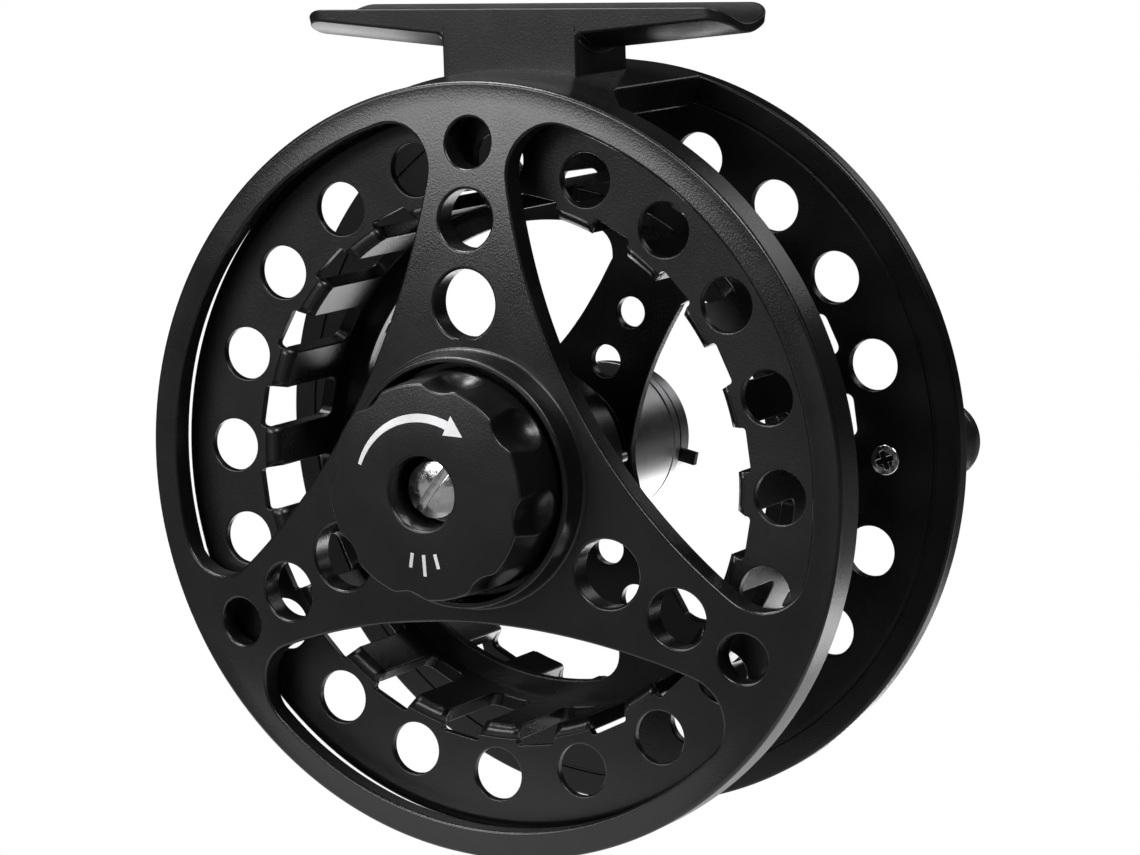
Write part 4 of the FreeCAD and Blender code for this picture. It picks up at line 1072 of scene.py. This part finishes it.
def cross_head(centre, radius, front, back):
    """A small screw head with a cross recess, as a ring round the recess and the floor inside it."""
    arm, half = radius * 0.62, radius * 0.17
    corner = half * 0.5
    cross = []
    for turn in (0, 90, 180, 270):
        for x, y, bend in ((arm, -half, corner), (arm, half, corner), (half, half, corner * 0.4)):
            spun = turned([(x, y)], turn + 20)[0]
            cross.append((spun[0], spun[1], bend))
    dome = flat_skin(lambda r: front + 0.18 * (r / radius) ** 2, lambda r: back + 0 * r)
    ring = solid([(circle((0, 0), radius, 60), edge_profile(0.15, 0.02)),
                  (clockwise(rounded(cross, steps=3)[0]), edge_profile(0.08, 0.02))], dome, spacing=0.5)
    deep, wide = front + 0.6, radius * 0.8
    floor = lathe([(0, back, 0), (wide, back, 0), (wide, deep, 0), (0, deep, 0)], count=48, closed=False)
    places, normals, faces = merged(ring, floor)
    return places + np.array([centre[0], 0, centre[1]]), normals, faces


# ---- handle

def handle_centre():
    turn = math.radians(HOLE_START)
    return HOLE_REACH * math.cos(turn), HOLE_REACH * math.sin(turn)


def handle_knob():
    return lathe([
        (1.9, 37.15, 0.1), (4.4, 37.15, 0.4), (4.9, 39.0, 1.2), (4.6, 42.0, 2.5), (4.2, 45.4, 3.0),
        (5.3, 49.6, 1.8), (5.0, 52.0, 1.0), (3.6, 52.2, 0.2), (1.9, 52.2, 0.1),
    ][::-1], centre=handle_centre(), count=120, steps=8)


def handle_cap():
    return lathe([
        (0, 52.3, 0), (2.9, 52.3, 0.15), (3.4, 52.7, 0.25), (3.1, 53.35, 0.3), (0, 53.4, 0),
    ], centre=handle_centre(), count=96, closed=False)


# ---- build

def build():
    dress_cad_nodes()
    piece("frame_side", frame_plate(), BLACK, "frame_body", ["frame"])
    piece("frame_top_bridge", frame_bridge(), BLACK, "frame_body", ["frame_bridge"])
    piece("foot_blade", foot_arms(), SATIN, "frame_body", ["reel_foot"])
    piece("foot_stem", foot_stem(), SATIN, "frame_body", ["reel_foot"])
    piece("foot_fillets", stem_fillets(), SATIN, "frame_body", ["reel_foot"], exact=False)
    piece("spool_near_flange", near_flange(), SPOOL_BLACK, "spool_body", ["near_flange"])
    piece("spool_far_flange", far_flange(), INNER_PAINTED_SHADE_BLACK, "spool_body", ["far_flange"])
    piece("spool_arbor", arbor(), INNER_PAINTED_SHADE_BLACK, "spool_body", ["arbor"])
    piece("arbor_bevels", rib_bevels(), SPOOL_BLACK, "spool_body", ["arbor"], exact=False)
    piece("spool_spokes", spool_web(), INNER_PAINTED_SHADE_BLACK, "spool_body", ["spool_web"])
    piece("bright_sleeve", hub_sleeve(), BRUSHED, "spool_body", ["hub_sleeve"])
    piece("knob_grip", drag_knob(), KNOB_BLACK, "knob_body", ["drag_knob"], exact=False)
    piece("knob_turn_mark", knob_mark(), MARKING, "knob_body")
    screw = slotted_head((0, 0), SCREW_RADIUS, SCREW_TOP, SCREW_BOTTOM, SLOT_WIDTH, SLOT_DEPTH, SLOT_TURN,
                         SCREW_DOME)
    piece("knob_screw_head", screw, BRIGHT, "frame_body", ["knob_screw"])
    head = cross_head(handle_centre(), HANDLE_SCREW_RADIUS, FAR_FRONT - HANDLE_SCREW_PROUD,
                      FAR_FRONT + HANDLE_SCREW_SUNK)
    piece("handle_screw_head", head, BRIGHT, "spool_body", ["handle_screw"])
    piece("handle_grip_knob", handle_knob(), GRIP, "handle_body", ["handle_knob"])
    piece("handle_end_cap", handle_cap(), KNOB_BLACK, "spool_body", ["handle_cap"])


# ---- studio

LENS = 135.2
CAMERA_PLACE = (0.25199, -0.45679, 0.02362)
CAMERA_TURN = (28.5984, 8.2172, -1.7449)


def camera():
    data = bpy.data.cameras.new("camera")
    data.lens = LENS
    data.sensor_width = 36
    data.clip_start = 0.01
    data.clip_end = 20
    seen = bpy.data.objects.new("camera", data)
    bpy.context.scene.collection.objects.link(seen)
    azimuth, elevation, roll = (math.radians(v) for v in CAMERA_TURN)
    back = Vector((math.sin(azimuth) * math.cos(elevation), -math.cos(azimuth) * math.cos(elevation),
                   math.sin(elevation)))
    right = (-back).cross(Vector((0, 0, 1))).normalized()
    up = right.cross(-back)
    across = right * math.cos(roll) + up * math.sin(roll)
    upward = up * math.cos(roll) - right * math.sin(roll)
    turn = Matrix((across, upward, back)).transposed().to_4x4()
    seen.matrix_world = Matrix.Translation(CAMERA_PLACE) @ turn
    bpy.context.scene.camera = seen


def soft_light(name, place, aim, size, radiance):
    """A soft box that the camera doesn't see, by how bright its face is."""
    data = bpy.data.lights.new(name, "AREA")
    data.shape = "RECTANGLE"
    data.size, data.size_y = size
    data.energy = radiance * math.pi * size[0] * size[1]
    lamp = bpy.data.objects.new(name, data)
    lamp.location = place
    lamp.rotation_mode = "QUATERNION"
    lamp.rotation_quaternion = (Vector(aim) - Vector(place)).to_track_quat("-Z", "Y")
    lamp.visible_camera = False
    bpy.context.scene.collection.objects.link(lamp)
    return lamp


def around(middle, azimuth, elevation, distance):
    """A place in the studio, by its direction from a point: azimuth 0 is straight in front."""
    a, e = math.radians(azimuth), math.radians(elevation)
    way = Vector((math.sin(a) * math.cos(e), -math.cos(a) * math.cos(e), math.sin(e)))
    return Vector(middle) + way * distance


def white_to_camera(tree, plain, white, end):
    """Show a plain white to camera rays only; every other ray meets the real, darker surface."""
    ray = tree.nodes.new("ShaderNodeLightPath")
    mix = tree.nodes.new("ShaderNodeMixShader")
    tree.links.new(ray.outputs["Is Camera Ray"], mix.inputs["Fac"])
    tree.links.new(plain, mix.inputs[1])
    tree.links.new(white, mix.inputs[2])
    tree.links.new(mix.outputs["Shader"], tree.nodes[end].inputs["Surface"])


def studio():
    bpy.context.scene.view_settings.view_transform = "Standard"
    world = bpy.data.worlds.new("studio")
    bpy.context.scene.world = world
    world.use_nodes = True
    tree = world.node_tree
    ground = tree.nodes["Background"]
    ground.inputs["Color"].default_value = (1, 1, 1, 1)
    ground.inputs["Strength"].default_value = 0.02
    seen = tree.nodes.new("ShaderNodeBackground")
    seen.inputs["Color"].default_value = (1, 1, 1, 1)
    seen.inputs["Strength"].default_value = 1.0
    white_to_camera(tree, ground.outputs["Background"], seen.outputs["Background"], "World Output")

    low = CAD_BOX[0].z - 0.0005
    mesh = bpy.data.meshes.new("floor")
    reach = 3.0
    mesh.from_pydata([(-reach, -reach, low), (reach, -reach, low), (reach, reach, low), (-reach, reach, low)],
                     [], [(0, 1, 2, 3)])
    material, floor_tree, surface = shader("floor_paper", (0.12, 0.12, 0.12), 0.9)
    glow = floor_tree.nodes.new("ShaderNodeEmission")
    white_to_camera(floor_tree, surface.outputs["BSDF"], glow.outputs["Emission"], "Material Output")
    mesh.materials.append(material)
    floor = bpy.data.objects.new("floor", mesh)
    bpy.context.scene.collection.objects.link(floor)

    middle = (0, 0, -0.055)
    soft_light("key", around(middle, -27, 23, 0.9), middle, (0.54, 0.36), 8.0)
    soft_light("above", around(middle, -70, 64, 0.9), middle, (0.4, 0.4), 17.0)
    soft_light("right", around(middle, 48, 50, 0.9), middle, (0.35, 0.35), 13.0)
    soft_light("back", around(middle, 163, 25, 0.9), middle, (0.40, 0.2), 1.3)
    soft_light("under", (0.0, 0.02, low + 0.001), (0, 0.02, 1), (0.16, 0.13), 0.8)
    soft_light("behind", (-0.08, 0.095, low + 0.001), (-0.08, 0.095, 1), (0.22, 0.11), 3.5)
    soft_light("behind_right", (0.1, 0.05, low + 0.001), (0.1, 0.05, 1), (0.1, 0.04), 2.0)


camera()
studio()
build()
